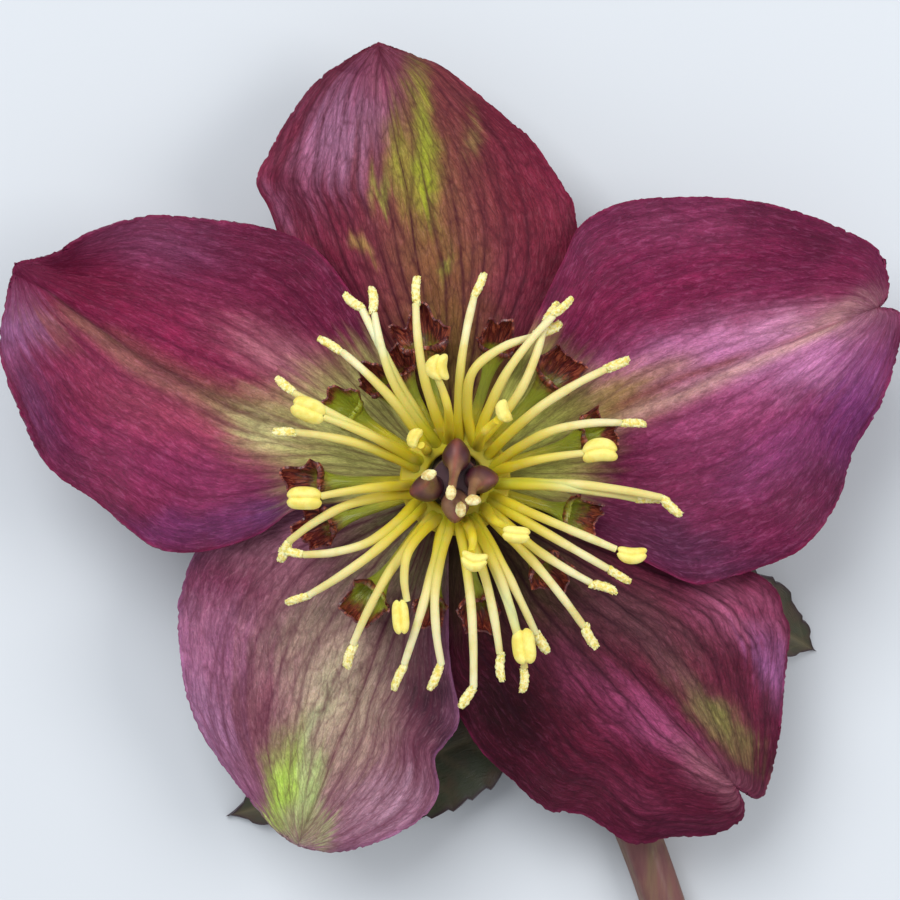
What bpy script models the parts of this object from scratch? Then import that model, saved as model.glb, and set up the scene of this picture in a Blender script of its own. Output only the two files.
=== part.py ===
"""A picked hellebore bloom lying face up: its bent stem runs along the surface below it."""

import math
import random

import bmesh
import bpy
from mathutils import Vector

# Sizes are in millimetres, heights are above the surface that the flower lies on,
# and positions are measured from the bloom's own axis, which stands upright.
MM = 0.001
REST_SPOT = (4.0, -7.0)  # flat of the stem that carries the bloom, and the frame's origin

SHARP_ANGLE = 50  # degrees
BLADE_THICKNESS = 0.7
SEPAL_BASE_HEIGHT = 11.95
SEPAL_LAP = 0.75  # an upper margin is raised, and a lower one sunk, by this much
SEPAL_ROWS = 18
SEPAL_COLUMNS = 8
GROOVE_DEPTH = 0.35
GROOVE_WIDTH = 0.16  # share of half the sepal's width
WAVE_START = 19.0
WAVE_FULL = 29.0

STEM_RADIUS = 2.0
STEM_SECTIONS = 34
STEM_PATH = [  # x, y, height, share of the radius
    (0.0, 0.0, 9.4, 0.95),
    (0.05, -0.1, 7.6, 0.84),
    (0.45, -0.8, 5.4, 0.84),
    (1.4, -2.5, 3.3, 0.9),
    (2.7, -4.7, 2.1, 0.95),
    (4.0, -7.0, 1.72, 1.0),
    (5.5, -9.7, 1.74, 1.0),
    (7.7, -13.8, 1.95, 1.0),
    (10.2, -18.6, 2.18, 1.12),
    (12.6, -23.5, 1.97, 1.0),
    (15.0, -28.6, 1.95, 1.0),
    (17.3, -34.5, 1.94, 0.99),
    (19.6, -42.0, 1.92, 0.98),
    (21.6, -50.0, 1.91, 0.98),
    (23.3, -58.5, 1.89, 0.97),
    (24.6, -67.0, 1.87, 0.97),
    (25.6, -76.0, 1.79, 0.96),
    (26.2, -85.0, 1.77, 0.96),
]
RECEPTACLE = [  # radius and height of the turned profile, from the top of its column down
    (0.0, 15.0),
    (2.0, 15.0),
    (2.0, 11.3),
    (3.6, 11.1),
    (3.7, 10.5),
    (3.1, 9.6),
    (2.0, 8.6),
    (1.2, 8.2),
    (0.0, 8.0),
]

# A margin is a list of (azimuth in degrees, radius) from the foot outwards. The left one
# is on the counter-clockwise side. Both run into the tip.
SEPALS = {
    "sepal_top": {
        "left": [(122, 2.6), (122, 6), (126, 10), (129, 15), (128, 22), (124.5, 27.5),
                 (123.6, 30.2), (119, 31.9), (113, 34.3), (107.5, 36.1)],
        "right": [(62, 2.6), (62, 6), (60, 10), (59, 15), (61, 21), (66, 24.8),
                  (69.3, 26.2), (77, 29.3), (81.2, 30.6), (87.9, 33.1), (92.7, 35.2)],
        "tip": (100, 37.3), "laps": (-1, -1), "tip_rise": -2.6, "crown": 0.8,
        "wave": 0.9, "waves": 3.0, "phase": 0.4, "color": (0.165, 0.032, 0.062),
    },
    "sepal_left": {
        "left": [(190, 2.6), (192, 6), (191, 10), (190.5, 13.5), (195.5, 17), (196, 21.5),
                 (193.4, 25.2), (188, 27.7), (183.3, 30.1), (178.1, 34.1), (170, 37.1),
                 (164, 39.5), (158, 40.5)],
        "right": [(130, 2.6), (128, 6), (121, 10), (119.3, 14.3), (119.3, 18.7), (121.2, 22.6),
                  (125.7, 25.7), (132.4, 29.3), (139.2, 33.9), (145.7, 36.6), (150.1, 38.2)],
        "tip": (153.8, 41.0), "laps": (1, 1), "tip_rise": 0.6, "crown": -0.7,
        "wave": 1.1, "waves": 3.5, "phase": 2.2, "color": (0.21, 0.036, 0.095),
    },
    "sepal_right": {
        "left": [(47, 2.6), (54, 6), (61, 10), (63.5, 14), (63.8, 20.5), (63.6, 23.9),
                 (58.7, 27.1), (49.6, 31.1), (44.2, 33.6), (38.8, 35.9), (33.3, 38.4),
                 (28.8, 40.2), (25.5, 40.0), (23.3, 39.3)],
        "right": [(-15, 2.6), (-17, 6), (-21, 10), (-22.4, 13.3), (-23.3, 17.2), (-23.7, 21.1),
                  (-22.0, 22.9), (-15, 27.2), (-10.2, 29.8), (-2.8, 32.1), (4.4, 33.5),
                  (9.4, 35.7), (13.7, 37.5), (18.5, 39.4), (20.8, 39.5)],
        "tip": (22.1, 38.0), "laps": (1, 1), "tip_rise": 0.4, "crown": 0.9,
        "wave": 1.1, "waves": 4.0, "phase": 0.9, "color": (0.27, 0.08, 0.17),
    },
    "sepal_lower_left": {
        "left": [(264, 2.6), (265, 6), (267, 10), (268.3, 15), (271, 20), (267.9, 22.1),
                 (265.9, 23.4), (267, 26.2), (264.1, 28.7), (257.8, 31.1), (251.6, 32.9)],
        "right": [(206, 2.6), (200, 6), (191, 10), (188, 14), (189, 19), (195.7, 22.7),
                  (202.2, 24.9), (206, 26), (211.7, 27.2), (219.6, 29.2), (226.8, 30.5),
                  (235.6, 31.8), (242.5, 33.0)],
        "tip": (246.8, 33.4), "laps": (1, -1), "tip_rise": -2.2, "crown": 0.6,
        "wave": 0.8, "waves": 3.0, "phase": 3.5, "color": (0.25, 0.13, 0.17),
    },
    "sepal_lower_right": {
        "left": [(336, 2.6), (337, 6), (341, 10), (344, 14), (343, 20), (343, 25.5),
                 (341.4, 28.4), (338, 29.9), (335.5, 31.1), (328.5, 32.7), (321, 35.1),
                 (316, 36.9), (313.6, 37.2)],
        "right": [(277, 2.6), (272, 6), (265, 10), (262.5, 14), (264, 17.5), (270.8, 19.8),
                  (275.2, 22.8), (280.5, 25.6), (285.4, 28.8), (291, 30.3), (295.8, 34.2),
                  (301.2, 35.4), (306.6, 37.2), (310.8, 37.4)],
        "tip": (312.5, 34.9), "laps": (-1, -1), "tip_rise": -2.8, "crown": 0.5,
        "wave": 0.9, "waves": 3.5, "phase": 1.6, "color": (0.12, 0.018, 0.05),
    },
}

NECTARY_RING = (2.4, 4.4, 12.95, 13.9)  # inner and outer radius, lowest and highest
NECTARY_SIDES = 8
NECTARY_FOOT = (3.7, 13.45)
NECTARY_MOUTH_HEIGHT = 16.2
NECTARY_RAGGED = 0.3
NECTARIES = [  # azimuth, radius and width of the mouth
    (103, 13.2, 4.5), (115.5, 11.6, 2.6), (127.5, 11.4, 3.2), (147, 11.9, 3.6),
    (181, 13.2, 3.8), (199, 12.9, 3.6), (233.5, 13.2, 4.0), (259, 11.9, 3.2),
    (280, 12.0, 3.6), (316, 11.8, 3.6), (344, 11.6, 3.6), (17.5, 13.2, 4.0),
    (46.5, 13.2, 4.2), (73, 13.0, 3.4),
]

STAMEN_RING = (2.4, 4.6, 14.25, 15.15)
STAMEN_FOOT = (4.0, 14.8)
FILAMENT_RADIUS = 0.42
SPENT_ANTHER = [0.38, 0.6, 0.58, 0.36]  # radii from the filament's end to the tip
FRESH_ANTHER = [0.45, 1.0, 0.95, 0.45]
UPRIGHT_ANTHER = [0.45, 0.95, 0.85, 0.4]
SPENT_HALF = 1.2  # from a spent anther's middle to its tip
SPENT_STAMENS = [  # azimuth and radius of the tip, and how far the filament bows to its left
    (118.5, 18.3, 0.2), (115.8, 17.6, 1.05), (102.6, 17.2, 0.65), (84.1, 17.5, 0.5),
    (60.3, 17.3, -1.0), (59.2, 18.1, 0.9), (60.8, 16.0, 3.1), (36.5, 17.7, 0.7),
    (19.2, 16.8, 1.25), (-5.7, 17.3, 0.35), (-4.7, 19.3, 0.5), (-30.0, 16.8, 0.0),
    (-37.0, 16.3, -0.5), (-48.6, 18.3, 0.4), (-62.2, 16.6, 0.2), (-69.6, 18.8, 0.6),
    (-75.5, 17.0, 0.4), (-84.9, 19.4, 0.4), (-94.3, 17.5, -0.95), (-105.5, 18.0, 0.2),
    (-122.0, 18.2, -0.6), (-141.9, 17.6, 0.5), (-153.8, 16.2, 1.4), (-159.9, 16.9, -1.15),
    (163.2, 16.0, -0.6), (151.5, 17.4, 0.0), (131.3, 16.4, -0.5),
]
FRESH_STAMENS = [  # azimuth and radius of the anther's middle, and the bow
    (12.1, 12.1, 0.25), (-23.1, 15.7, 0.0), (-67.5, 14.7, 0.4), (-111.8, 12.0, -1.4),
    (-173.4, 12.4, -0.2), (154.2, 13.3, -0.3),
]
UPRIGHT_STAMENS = [
    (99.6, 9.3, -0.4), (133.7, 4.9, 0.0), (55.5, 6.8, 0.3), (-41.5, 6.6, -0.3),
    (-77.2, 6.8, 0.4),
]

CARPELS = [  # x and y of the body's middle, x and y of the stigma, share of a full style
    (0.1, 1.9, -0.35, -0.95, 1.0),
    (2.0, 0.1, 1.45, -1.55, 1.0),
    (-2.2, -0.6, -2.1, 0.5, 1.0),
    (0.0, -1.9, 0.45, -2.35, 0.3),
]
CARPEL_FOOT = 15.4
CARPEL_DISC = (1.9, 16.4)  # radius and top
STYLE_FOOT = 19.0

BRACT_ROWS = 16
BRACT_COLUMNS = 4
BRACT_TOOTH = 0.4
BRACT_FOLD = 0.09
BRACTS = {  # the midrib's points as x, y and height; half widths evenly along it
    "bract_right": {
        "midrib": [(12.9, -17.9, 2.2), (17.0, -15.2, 3.4), (22.5, -12.9, 3.3),
                   (27.5, -13.0, 1.9), (31.3, -14.9, 0.36)],
        "half_widths": [0.9, 2.2, 3.4, 4.4, 5.1, 5.3, 4.3, 1.9, 0.0],
    },
    "bract_left": {
        "midrib": [(7.6, -19.5, 2.2), (1.5, -22.2, 3.5), (-6.0, -25.3, 3.2),
                   (-13.5, -27.4, 1.7), (-19.8, -29.2, 0.36)],
        "half_widths": [0.9, 3.2, 4.6, 5.0, 4.6, 3.9, 3.0, 1.8, 0.0],
    },
}


def polar(azimuth, radius, height=0.0):
    angle = math.radians(azimuth)
    return Vector((radius * math.cos(angle), radius * math.sin(angle), height))


def smoothstep(low, high, value):
    share = min(1.0, max(0.0, (value - low) / (high - low)))
    return share * share * (3.0 - 2.0 * share)


def curve_through(points, count):
    """Points evenly spaced along the smooth curve through the given ones."""
    ends = [2 * points[0] - points[1]] + points + [2 * points[-1] - points[-2]]
    fine = []
    for a, b, c, d in zip(ends, ends[1:], ends[2:], ends[3:]):
        for step in range(12):
            t = step / 12
            fine.append(0.5 * (2 * b + (c - a) * t + (2 * a - 5 * b + 4 * c - d) * t**2
                               + (3 * b - 3 * c + d - a) * t**3))
    fine.append(points[-1].copy())
    lengths = [0.0]
    for first, second in zip(fine, fine[1:]):
        lengths.append(lengths[-1] + (second - first).length)
    result = []
    index = 0
    for number in range(count):
        wanted = lengths[-1] * number / (count - 1)
        while index < len(fine) - 2 and lengths[index + 1] < wanted:
            index += 1
        share = (wanted - lengths[index]) / max(lengths[index + 1] - lengths[index], 1e-9)
        result.append(fine[index].lerp(fine[index + 1], min(1.0, share)))
    return result


def principled(name, color, roughness):
    material = bpy.data.materials.new(name)
    material.use_nodes = True
    shader = material.node_tree.nodes["Principled BSDF"]
    shader.inputs["Base Color"].default_value = (*color, 1.0)
    shader.inputs["Roughness"].default_value = roughness
    shader.inputs["Metallic"].default_value = 0.0
    return material


def add_object(name, mesh, material, collection):
    piece = bpy.data.objects.new(name, mesh)
    mesh.materials.append(material)
    collection.objects.link(piece)
    return piece


def mesh_of(name, form):
    """The working mesh, turned from millimetres into metres."""
    bmesh.ops.scale(form, vec=(MM, MM, MM), verts=form.verts)
    mesh = bpy.data.meshes.new(name)
    form.to_mesh(mesh)
    form.free()
    mesh.shade_smooth()
    mesh.set_sharp_from_angle(angle=math.radians(SHARP_ANGLE))
    return mesh


def blade(name, place, rows, columns, material, collection):
    """A leafy blade: a grid laid out by place(along, across), split alike and given its thickness."""
    form = bmesh.new()
    bmesh.ops.create_grid(form, x_segments=rows, y_segments=columns, size=1.0)
    for vertex in form.verts:
        vertex.co = place((vertex.co.x + 1) / 2, vertex.co.y)
    bmesh.ops.remove_doubles(form, verts=form.verts, dist=0.01)
    bmesh.ops.triangulate(form, faces=form.faces)
    piece = add_object(name, mesh_of(name, form), material, collection)
    solid = piece.modifiers.new("thickness", "SOLIDIFY")
    solid.thickness = BLADE_THICKNESS * MM
    solid.offset = 0.0


def sepal_height(sepal, point, along, across):
    radius = point.length
    across *= min(1.0, (1.0 - along) / 0.1)  # the relief fades out into the tip
    side = sepal["laps"][0] if across > 0 else sepal["laps"][1]
    lap = SEPAL_LAP * side * smoothstep(0.3, 0.8, abs(across)) * smoothstep(2.8, 7.0, radius)
    outer = smoothstep(9.0, 24.0, radius)
    crown = sepal["crown"] * outer * (1 - across * across)
    groove = GROOVE_DEPTH * outer * math.exp(-((across / GROOVE_WIDTH) ** 2))
    swing = math.sin(2 * math.pi * sepal["waves"] * along + sepal["phase"] + across)
    wave = sepal["wave"] * swing * across * across * smoothstep(WAVE_START, WAVE_FULL, radius)
    rise = sepal["tip_rise"] * (radius / 38.0) ** 2
    return SEPAL_BASE_HEIGHT + lap + crown - groove + wave + rise


def make_sepal(name, sepal, collection):
    count = SEPAL_ROWS + 1
    tip = polar(*sepal["tip"])
    left = curve_through([polar(*p) for p in sepal["left"]] + [tip], count)
    right = curve_through([polar(*p) for p in sepal["right"]] + [tip], count)
    foot = (left[0] + right[0]) / 2

    def place(along, across):
        row = round(along * SEPAL_ROWS)
        midrib = foot.lerp(tip, along)
        margin = left[row] if across > 0 else right[row]
        point = midrib.lerp(margin, abs(across))
        point.z = sepal_height(sepal, point, along, across)
        return point

    material = principled(name, sepal["color"], 0.5)
    blade(name, place, SEPAL_ROWS, SEPAL_COLUMNS, material, collection)


def make_bract(name, bract, collection):
    midrib = curve_through([Vector(p) for p in bract["midrib"]], BRACT_ROWS + 1)
    steps = len(bract["half_widths"]) - 1

    def half_width(along):
        index = min(int(along * steps), steps - 1)
        share = along * steps - index
        return bract["half_widths"][index] * (1 - share) + bract["half_widths"][index + 1] * share

    def place(along, across):
        row = round(along * BRACT_ROWS)
        before = midrib[max(row - 1, 0)]
        after = midrib[min(row + 1, BRACT_ROWS)]
        direction = (after - before).normalized()
        sideways = Vector((-direction.y, direction.x, 0)).normalized()
        half = half_width(along)
        tooth = BRACT_TOOTH * (1 if row % 2 else -1) * min(1.0, half / 3)
        point = midrib[row] + sideways * across * (half + tooth * abs(across))
        point.z += BRACT_FOLD * half * across * across
        return point

    material = principled(name, (0.045, 0.035, 0.014), 0.55)
    blade(name, place, BRACT_ROWS, BRACT_COLUMNS, material, collection)


def turned(profile, sides):
    """A closed body turned round the Z axis from a profile of (radius, height)."""
    form = bmesh.new()
    points = [form.verts.new((radius, 0.0, height)) for radius, height in profile]
    for first, second in zip(points, points[1:]):
        form.edges.new((first, second))
    if profile[0][0] > 0:
        form.edges.new((points[-1], points[0]))
    bmesh.ops.spin(form, geom=form.verts[:] + form.edges[:], cent=(0, 0, 0), axis=(0, 0, 1),
                   angle=2 * math.pi, steps=sides, use_merge=True)
    bmesh.ops.remove_doubles(form, verts=form.verts, dist=0.001)
    bmesh.ops.recalc_face_normals(form, faces=form.faces)
    return form


def ring(inner, outer, low, high, sides):
    return turned([(inner, low), (outer, low), (outer, high), (inner, high)], sides)


def tube(name, points, radii, resolution, collection):
    """A round body along the points, as a closed mesh."""
    curve = bpy.data.curves.new(name, "CURVE")
    curve.dimensions = "3D"
    curve.bevel_depth = MM
    curve.bevel_resolution = resolution
    curve.use_fill_caps = True
    spline = curve.splines.new("POLY")
    spline.points.add(len(points) - 1)
    for control, point, radius in zip(spline.points, points, radii):
        control.co = (point[0] * MM, point[1] * MM, point[2] * MM, 1.0)
        control.radius = radius
    guide = bpy.data.objects.new(name, curve)
    collection.objects.link(guide)
    evaluated = guide.evaluated_get(bpy.context.evaluated_depsgraph_get())
    mesh = bpy.data.meshes.new_from_object(evaluated)
    bpy.data.objects.remove(guide)
    form = bmesh.new()
    form.from_mesh(mesh)
    bmesh.ops.remove_doubles(form, verts=form.verts, dist=0.000001)
    bmesh.ops.recalc_face_normals(form, faces=form.faces)
    form.to_mesh(mesh)
    form.free()
    collection.objects.link(bpy.data.objects.new(name, mesh))


def join_all(piece, repeats):
    """One body from the piece and every object in the collection of repeats."""
    union = piece.modifiers.new("join", "BOOLEAN")
    union.operation = "UNION"
    union.operand_type = "COLLECTION"
    union.collection = repeats
    union.solver = "MANIFOLD"
    evaluated = piece.evaluated_get(bpy.context.evaluated_depsgraph_get())
    joined = bpy.data.meshes.new_from_object(evaluated)
    piece.modifiers.clear()
    for material in piece.data.materials:
        if not joined.materials:
            joined.materials.append(material)
    old = piece.data
    piece.data = joined
    joined.name = old.name
    bpy.data.meshes.remove(old)
    for repeat in list(repeats.objects):
        bpy.data.objects.remove(repeat)
    bpy.data.collections.remove(repeats)
    joined.shade_smooth()
    joined.set_sharp_from_angle(angle=math.radians(SHARP_ANGLE))


def new_repeats(name):
    repeats = bpy.data.collections.new(name)
    bpy.context.scene.collection.children.link(repeats)
    return repeats


def make_stem(collection):
    form = turned(RECEPTACLE, 16)
    material = principled("stem", (0.13, 0.065, 0.055), 0.5)
    stem = add_object("stem", mesh_of("stem", form), material, collection)
    repeats = new_repeats("stem pieces")
    points = curve_through([Vector(p) for p in STEM_PATH], STEM_SECTIONS)
    tube("pedicel", points, [STEM_RADIUS * point.w for point in points], 3, repeats)
    join_all(stem, repeats)
    form = bmesh.new()
    form.from_mesh(stem.data)
    bmesh.ops.bisect_plane(form, geom=form.verts[:] + form.edges[:] + form.faces[:], dist=1e-7,
                           plane_co=(0, 0, 0), plane_no=(0, 0, 1), clear_inner=True)
    bmesh.ops.holes_fill(form, edges=[edge for edge in form.edges if edge.is_boundary], sides=0)
    bmesh.ops.recalc_face_normals(form, faces=form.faces)
    form.to_mesh(stem.data)
    form.free()


def make_nectaries(collection):
    """A ring of small trumpets that lean out and turn up, each with an open mouth and a torn rim."""
    chance = random.Random(11)
    material = principled("nectaries", (0.12, 0.1, 0.02), 0.45)
    form = ring(*NECTARY_RING, 28)
    nectaries = add_object("nectaries", mesh_of("nectaries", form), material, collection)
    repeats = new_repeats("nectary trumpets")
    for azimuth, mouth, width in NECTARIES:
        half = width / 2
        profile = [(0, 0), (0.55, 0), (0.62, 0.35), (0.95, 0.72), (half, 1), (half - 0.6, 1.02),
                   (0.45, 0.75), (0, 0.72)]
        form = turned(profile, NECTARY_SIDES)
        foot = Vector(NECTARY_FOOT)
        middle = Vector((mouth - 1.7, NECTARY_FOOT[1] + 0.5))
        end = Vector((mouth - 0.6, NECTARY_MOUTH_HEIGHT + chance.uniform(-0.4, 0.3)))
        for vertex in form.verts:
            share = vertex.co.z
            centre = foot.lerp(middle, share).lerp(middle.lerp(end, share), share)
            heading = (middle.lerp(end, share) - foot.lerp(middle, share)).normalized()
            rough = chance.uniform(-NECTARY_RAGGED, NECTARY_RAGGED) if share > 0.9 else 0.0
            out = centre.x + heading.x * rough - heading.y * vertex.co.y
            up = centre.y + heading.y * rough + heading.x * vertex.co.y
            turn = polar(azimuth, out, up)
            aside = polar(azimuth + 90, vertex.co.x)
            vertex.co = turn + aside
        bmesh.ops.recalc_face_normals(form, faces=form.faces)
        trumpet = bpy.data.objects.new("trumpet", mesh_of("trumpet", form))
        repeats.objects.link(trumpet)
    join_all(nectaries, repeats)


def stamen_path(azimuth, reach, bow, top, droop, half_length):
    """Filament points from the ring out to the anther, then the anther's own points."""
    foot_radius, foot_height = STAMEN_FOOT
    points = []
    for share in (0.0, 0.22, 0.5, 0.78, 1.0):
        radius = foot_radius + (reach - half_length - foot_radius) * share
        arch = math.sin(min(1.0, share * 1.6) * math.pi / 2)
        height = foot_height + (top - foot_height) * arch - droop * share**4
        aside = polar(azimuth + 90, bow * math.sin(share * math.pi))
        points.append(polar(azimuth, radius, height) + aside)
    heading = (points[-1] - points[-2]).normalized()
    for step in (0.5, 1.5, 2.0):
        points.append(points[4] + heading * half_length * step)
    return points


def make_stamens(collection):
    chance = random.Random(7)
    material = principled("stamens", (0.62, 0.53, 0.25), 0.6)
    form = ring(*STAMEN_RING, 28)
    stamens = add_object("stamens", mesh_of("stamens", form), material, collection)
    repeats = new_repeats("stamen filaments")
    thread = [FILAMENT_RADIUS] * 4
    for azimuth, tip, bow in SPENT_STAMENS:
        top = chance.uniform(18.6, 19.3)
        droop = chance.uniform(0.9, 2.0)
        points = stamen_path(azimuth, tip - SPENT_HALF, bow, top, droop, SPENT_HALF)
        tube("spent", points, thread + SPENT_ANTHER, 1, repeats)
    for azimuth, reach, bow in FRESH_STAMENS:
        points = stamen_path(azimuth, reach, bow, chance.uniform(19.1, 20.0), 0.6, 1.4)
        tube("fresh", points, thread + FRESH_ANTHER, 1, repeats)
    for azimuth, reach, bow in UPRIGHT_STAMENS:
        points = stamen_path(azimuth, reach, bow, chance.uniform(19.8, 21.2), -1.0, 0.9)
        tube("upright", points, thread + UPRIGHT_ANTHER, 1, repeats)
    join_all(stamens, repeats)


def make_carpels(collection):
    """Four swollen pods in a cross, each drawn out into a style."""
    material = principled("carpels", (0.12, 0.035, 0.05), 0.5)
    radius, top = CARPEL_DISC
    form = turned([(0, CARPEL_FOOT), (radius, CARPEL_FOOT), (radius, top), (0, top)], 12)
    carpels = add_object("carpels", mesh_of("carpels", form), material, collection)
    repeats = new_repeats("pods")
    for x, y, stigma_x, stigma_y, style in CARPELS:
        pod = Vector((x, y, 0))
        stigma = Vector((stigma_x, stigma_y, 0))
        stations = [(0.62, 0.0, 15.7, 0.75), (0.9, 0.0, 16.7, 1.15), (1.0, 0.0, 17.9, 1.27),
                    (0.95, 0.1, 19.0, 0.95), (0.75, 0.35, 20.0, 0.5), (0.6, 0.6, 21.2, 0.36),
                    (0.5, 0.9, 22.4, 0.34), (0.45, 1.0, 23.0, 0.42)]
        points = []
        for body, lean, height, _ in stations:
            place = (pod * body).lerp(stigma, lean)
            height = min(height, STYLE_FOOT) + max(0.0, height - STYLE_FOOT) * style
            points.append(Vector((place.x, place.y, height)))
        tube("pod", points, [station[3] for station in stations], 2, repeats)
    join_all(carpels, repeats)


def clear_scene():
    for existing in list(bpy.data.objects):
        bpy.data.objects.remove(existing)


def build():
    clear_scene()
    collection = bpy.data.collections.new("hellebore_flower")
    bpy.context.scene.collection.children.link(collection)
    for name, sepal in SEPALS.items():
        make_sepal(name, sepal, collection)
    for name, bract in BRACTS.items():
        make_bract(name, bract, collection)
    make_stem(collection)
    make_nectaries(collection)
    make_stamens(collection)
    make_carpels(collection)
    flower = bpy.data.objects.new("flower", None)
    flower.location = (-REST_SPOT[0] * MM, -REST_SPOT[1] * MM, 0.0)
    for piece in collection.objects:
        piece.parent = flower
    collection.objects.link(flower)


build()
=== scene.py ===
# A picked hellebore bloom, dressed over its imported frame.
import math
import random

import bpy
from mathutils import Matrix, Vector, kdtree, noise


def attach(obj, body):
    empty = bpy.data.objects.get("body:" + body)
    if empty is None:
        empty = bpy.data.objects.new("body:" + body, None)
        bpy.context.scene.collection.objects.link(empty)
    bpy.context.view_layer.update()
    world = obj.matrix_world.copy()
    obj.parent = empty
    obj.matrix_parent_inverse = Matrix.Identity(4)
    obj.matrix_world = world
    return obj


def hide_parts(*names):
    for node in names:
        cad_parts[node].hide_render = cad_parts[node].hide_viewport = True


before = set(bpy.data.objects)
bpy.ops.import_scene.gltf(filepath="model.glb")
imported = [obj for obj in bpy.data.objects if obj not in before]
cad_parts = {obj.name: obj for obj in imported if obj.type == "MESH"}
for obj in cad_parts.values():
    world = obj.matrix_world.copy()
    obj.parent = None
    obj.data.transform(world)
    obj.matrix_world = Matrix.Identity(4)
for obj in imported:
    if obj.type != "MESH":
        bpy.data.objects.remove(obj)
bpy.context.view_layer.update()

mm = 0.001
weldReach = 0.002  # in millimetres: the tips of blades run together in one vertex
bloomAxis = Vector((-4.0, 7.0, 0.0))  # the bloom's upright axis in the frame, in millimetres


# Small helpers

# A screen colour of 0 to 255 as the linear one that a shader takes
def ink(red, green, blue):
    return tuple((c / 255 / 12.92) if c < 10 else ((c / 255 + 0.055) / 1.055) ** 2.4
                 for c in (red, green, blue))


def polar(azimuth, radius, height=0.0):
    angle = math.radians(azimuth)
    return Vector((radius * math.cos(angle), radius * math.sin(angle), height))


def smoothstep(low, high, value):
    share = min(1.0, max(0.0, (value - low) / (high - low)))
    return share * share * (3.0 - 2.0 * share)


def mix(first, second, share):
    return tuple(a + (b - a) * share for a, b in zip(first, second))


# Points evenly spaced along the smooth curve through the given ones
def curveThrough(points, count):
    ends = [2 * points[0] - points[1]] + points + [2 * points[-1] - points[-2]]
    fine = []
    for a, b, c, d in zip(ends, ends[1:], ends[2:], ends[3:]):
        for step in range(24):
            t = step / 24
            fine.append(0.5 * (2 * b + (c - a) * t + (2 * a - 5 * b + 4 * c - d) * t**2
                               + (3 * b - 3 * c + d - a) * t**3))
    fine.append(points[-1].copy())
    lengths = [0.0]
    for first, second in zip(fine, fine[1:]):
        lengths.append(lengths[-1] + (second - first).length)
    result = []
    index = 0
    for number in range(count):
        wanted = lengths[-1] * number / (count - 1)
        while index < len(fine) - 2 and lengths[index + 1] < wanted:
            index += 1
        share = (wanted - lengths[index]) / max(lengths[index + 1] - lengths[index], 1e-9)
        result.append(fine[index].lerp(fine[index + 1], min(1.0, share)))
    return result


def deselect():
    bpy.ops.object.select_all(action="DESELECT")


def activate(piece):
    deselect()
    piece.select_set(True)
    bpy.context.view_layer.objects.active = piece


def applyPlace():
    bpy.ops.object.transform_apply(location=True, rotation=False, scale=False)


def applyModifier(piece, kind, **values):
    modifier = piece.modifiers.new(kind.title(), kind)
    for name, value in values.items():
        setattr(modifier, name, value)
    activate(piece)
    bpy.ops.object.modifier_apply(modifier=modifier.name)


def copyOf(piece, name):
    twin = bpy.data.objects.new(name, piece.data.copy())
    bpy.context.scene.collection.objects.link(twin)
    return twin


def joinAll(pieces, name):
    deselect()
    for piece in pieces:
        piece.select_set(True)
    bpy.context.view_layer.objects.active = pieces[0]
    bpy.ops.object.join()
    pieces[0].name = name
    return pieces[0]


# Each vertex goes where rule(position) says, both in millimetres about the bloom's axis
def moveVertices(piece, rule):
    for vertex in piece.data.vertices:
        vertex.co = rule(vertex.co)


# From millimetres about the bloom's axis to metres in the frame
def intoFrame(piece):
    for vertex in piece.data.vertices:
        vertex.co = (vertex.co + bloomAxis) * mm


# The piece stands for its node: it takes its material, and the frame's part for the node is
# hidden
def finish(piece, material, node, angle=60):
    intoFrame(piece)
    piece.data.materials.clear()
    piece.data.materials.append(material)
    activate(piece)
    bpy.ops.object.shade_smooth_by_angle(angle=math.radians(angle))
    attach(piece, "root")
    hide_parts(node)


def paint(piece, name, colours):
    layer = piece.data.color_attributes.new(name, "FLOAT_COLOR", "POINT")
    flat = [channel for colour in colours for channel in (*colour, 1.0)]
    layer.data.foreach_set("color", flat)


def weigh(piece, name, values):
    layer = piece.data.attributes.new(name, "FLOAT", "POINT")
    layer.data.foreach_set("value", values)


def readWeights(piece, name):
    layer = piece.data.attributes[name]
    values = [0.0] * len(piece.data.vertices)
    layer.data.foreach_get("value", values)
    return values


# Shader groups that several finishes share

def newGroup(name, inputs, outputs):
    group = bpy.data.node_groups.new(name, "ShaderNodeTree")
    for label, kind, value in inputs:
        socket = group.interface.new_socket(label, in_out="INPUT", socket_type=kind)
        if value is not None:
            socket.default_value = value
    for label, kind in outputs:
        group.interface.new_socket(label, in_out="OUTPUT", socket_type=kind)
    return group, group.nodes.new("NodeGroupInput"), group.nodes.new("NodeGroupOutput")


def addNode(tree, kind, **values):
    node = tree.nodes.new(kind)
    for name, value in values.items():
        setattr(node, name, value)
    return node


# Each named input gets its plain value or its link, and _ stands for a space in its name
def feed(tree, node, **values):
    for name, value in values.items():
        socket = node.inputs[name.replace("_", " ")]
        if isinstance(value, bpy.types.NodeSocket):
            tree.links.new(value, socket)
        else:
            socket.default_value = value
    return node


def maths(tree, operation, first, second=None):
    node = addNode(tree, "ShaderNodeMath", operation=operation)
    for socket, value in zip(node.inputs, (first, second)):
        if isinstance(value, (int, float)):
            socket.default_value = value
        elif value is not None:
            tree.links.new(value, socket)
    return node.outputs[0]


# The vector with its first axis scaled by along and its second by across
def stretched(tree, vector, along, across):
    scale = feed(tree, addNode(tree, "ShaderNodeCombineXYZ"), X=along, Y=across, Z=1.0)
    product = addNode(tree, "ShaderNodeVectorMath", operation="MULTIPLY")
    tree.links.new(vector, product.inputs[0])
    tree.links.new(scale.outputs[0], product.inputs[1])
    return product.outputs[0]


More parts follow.
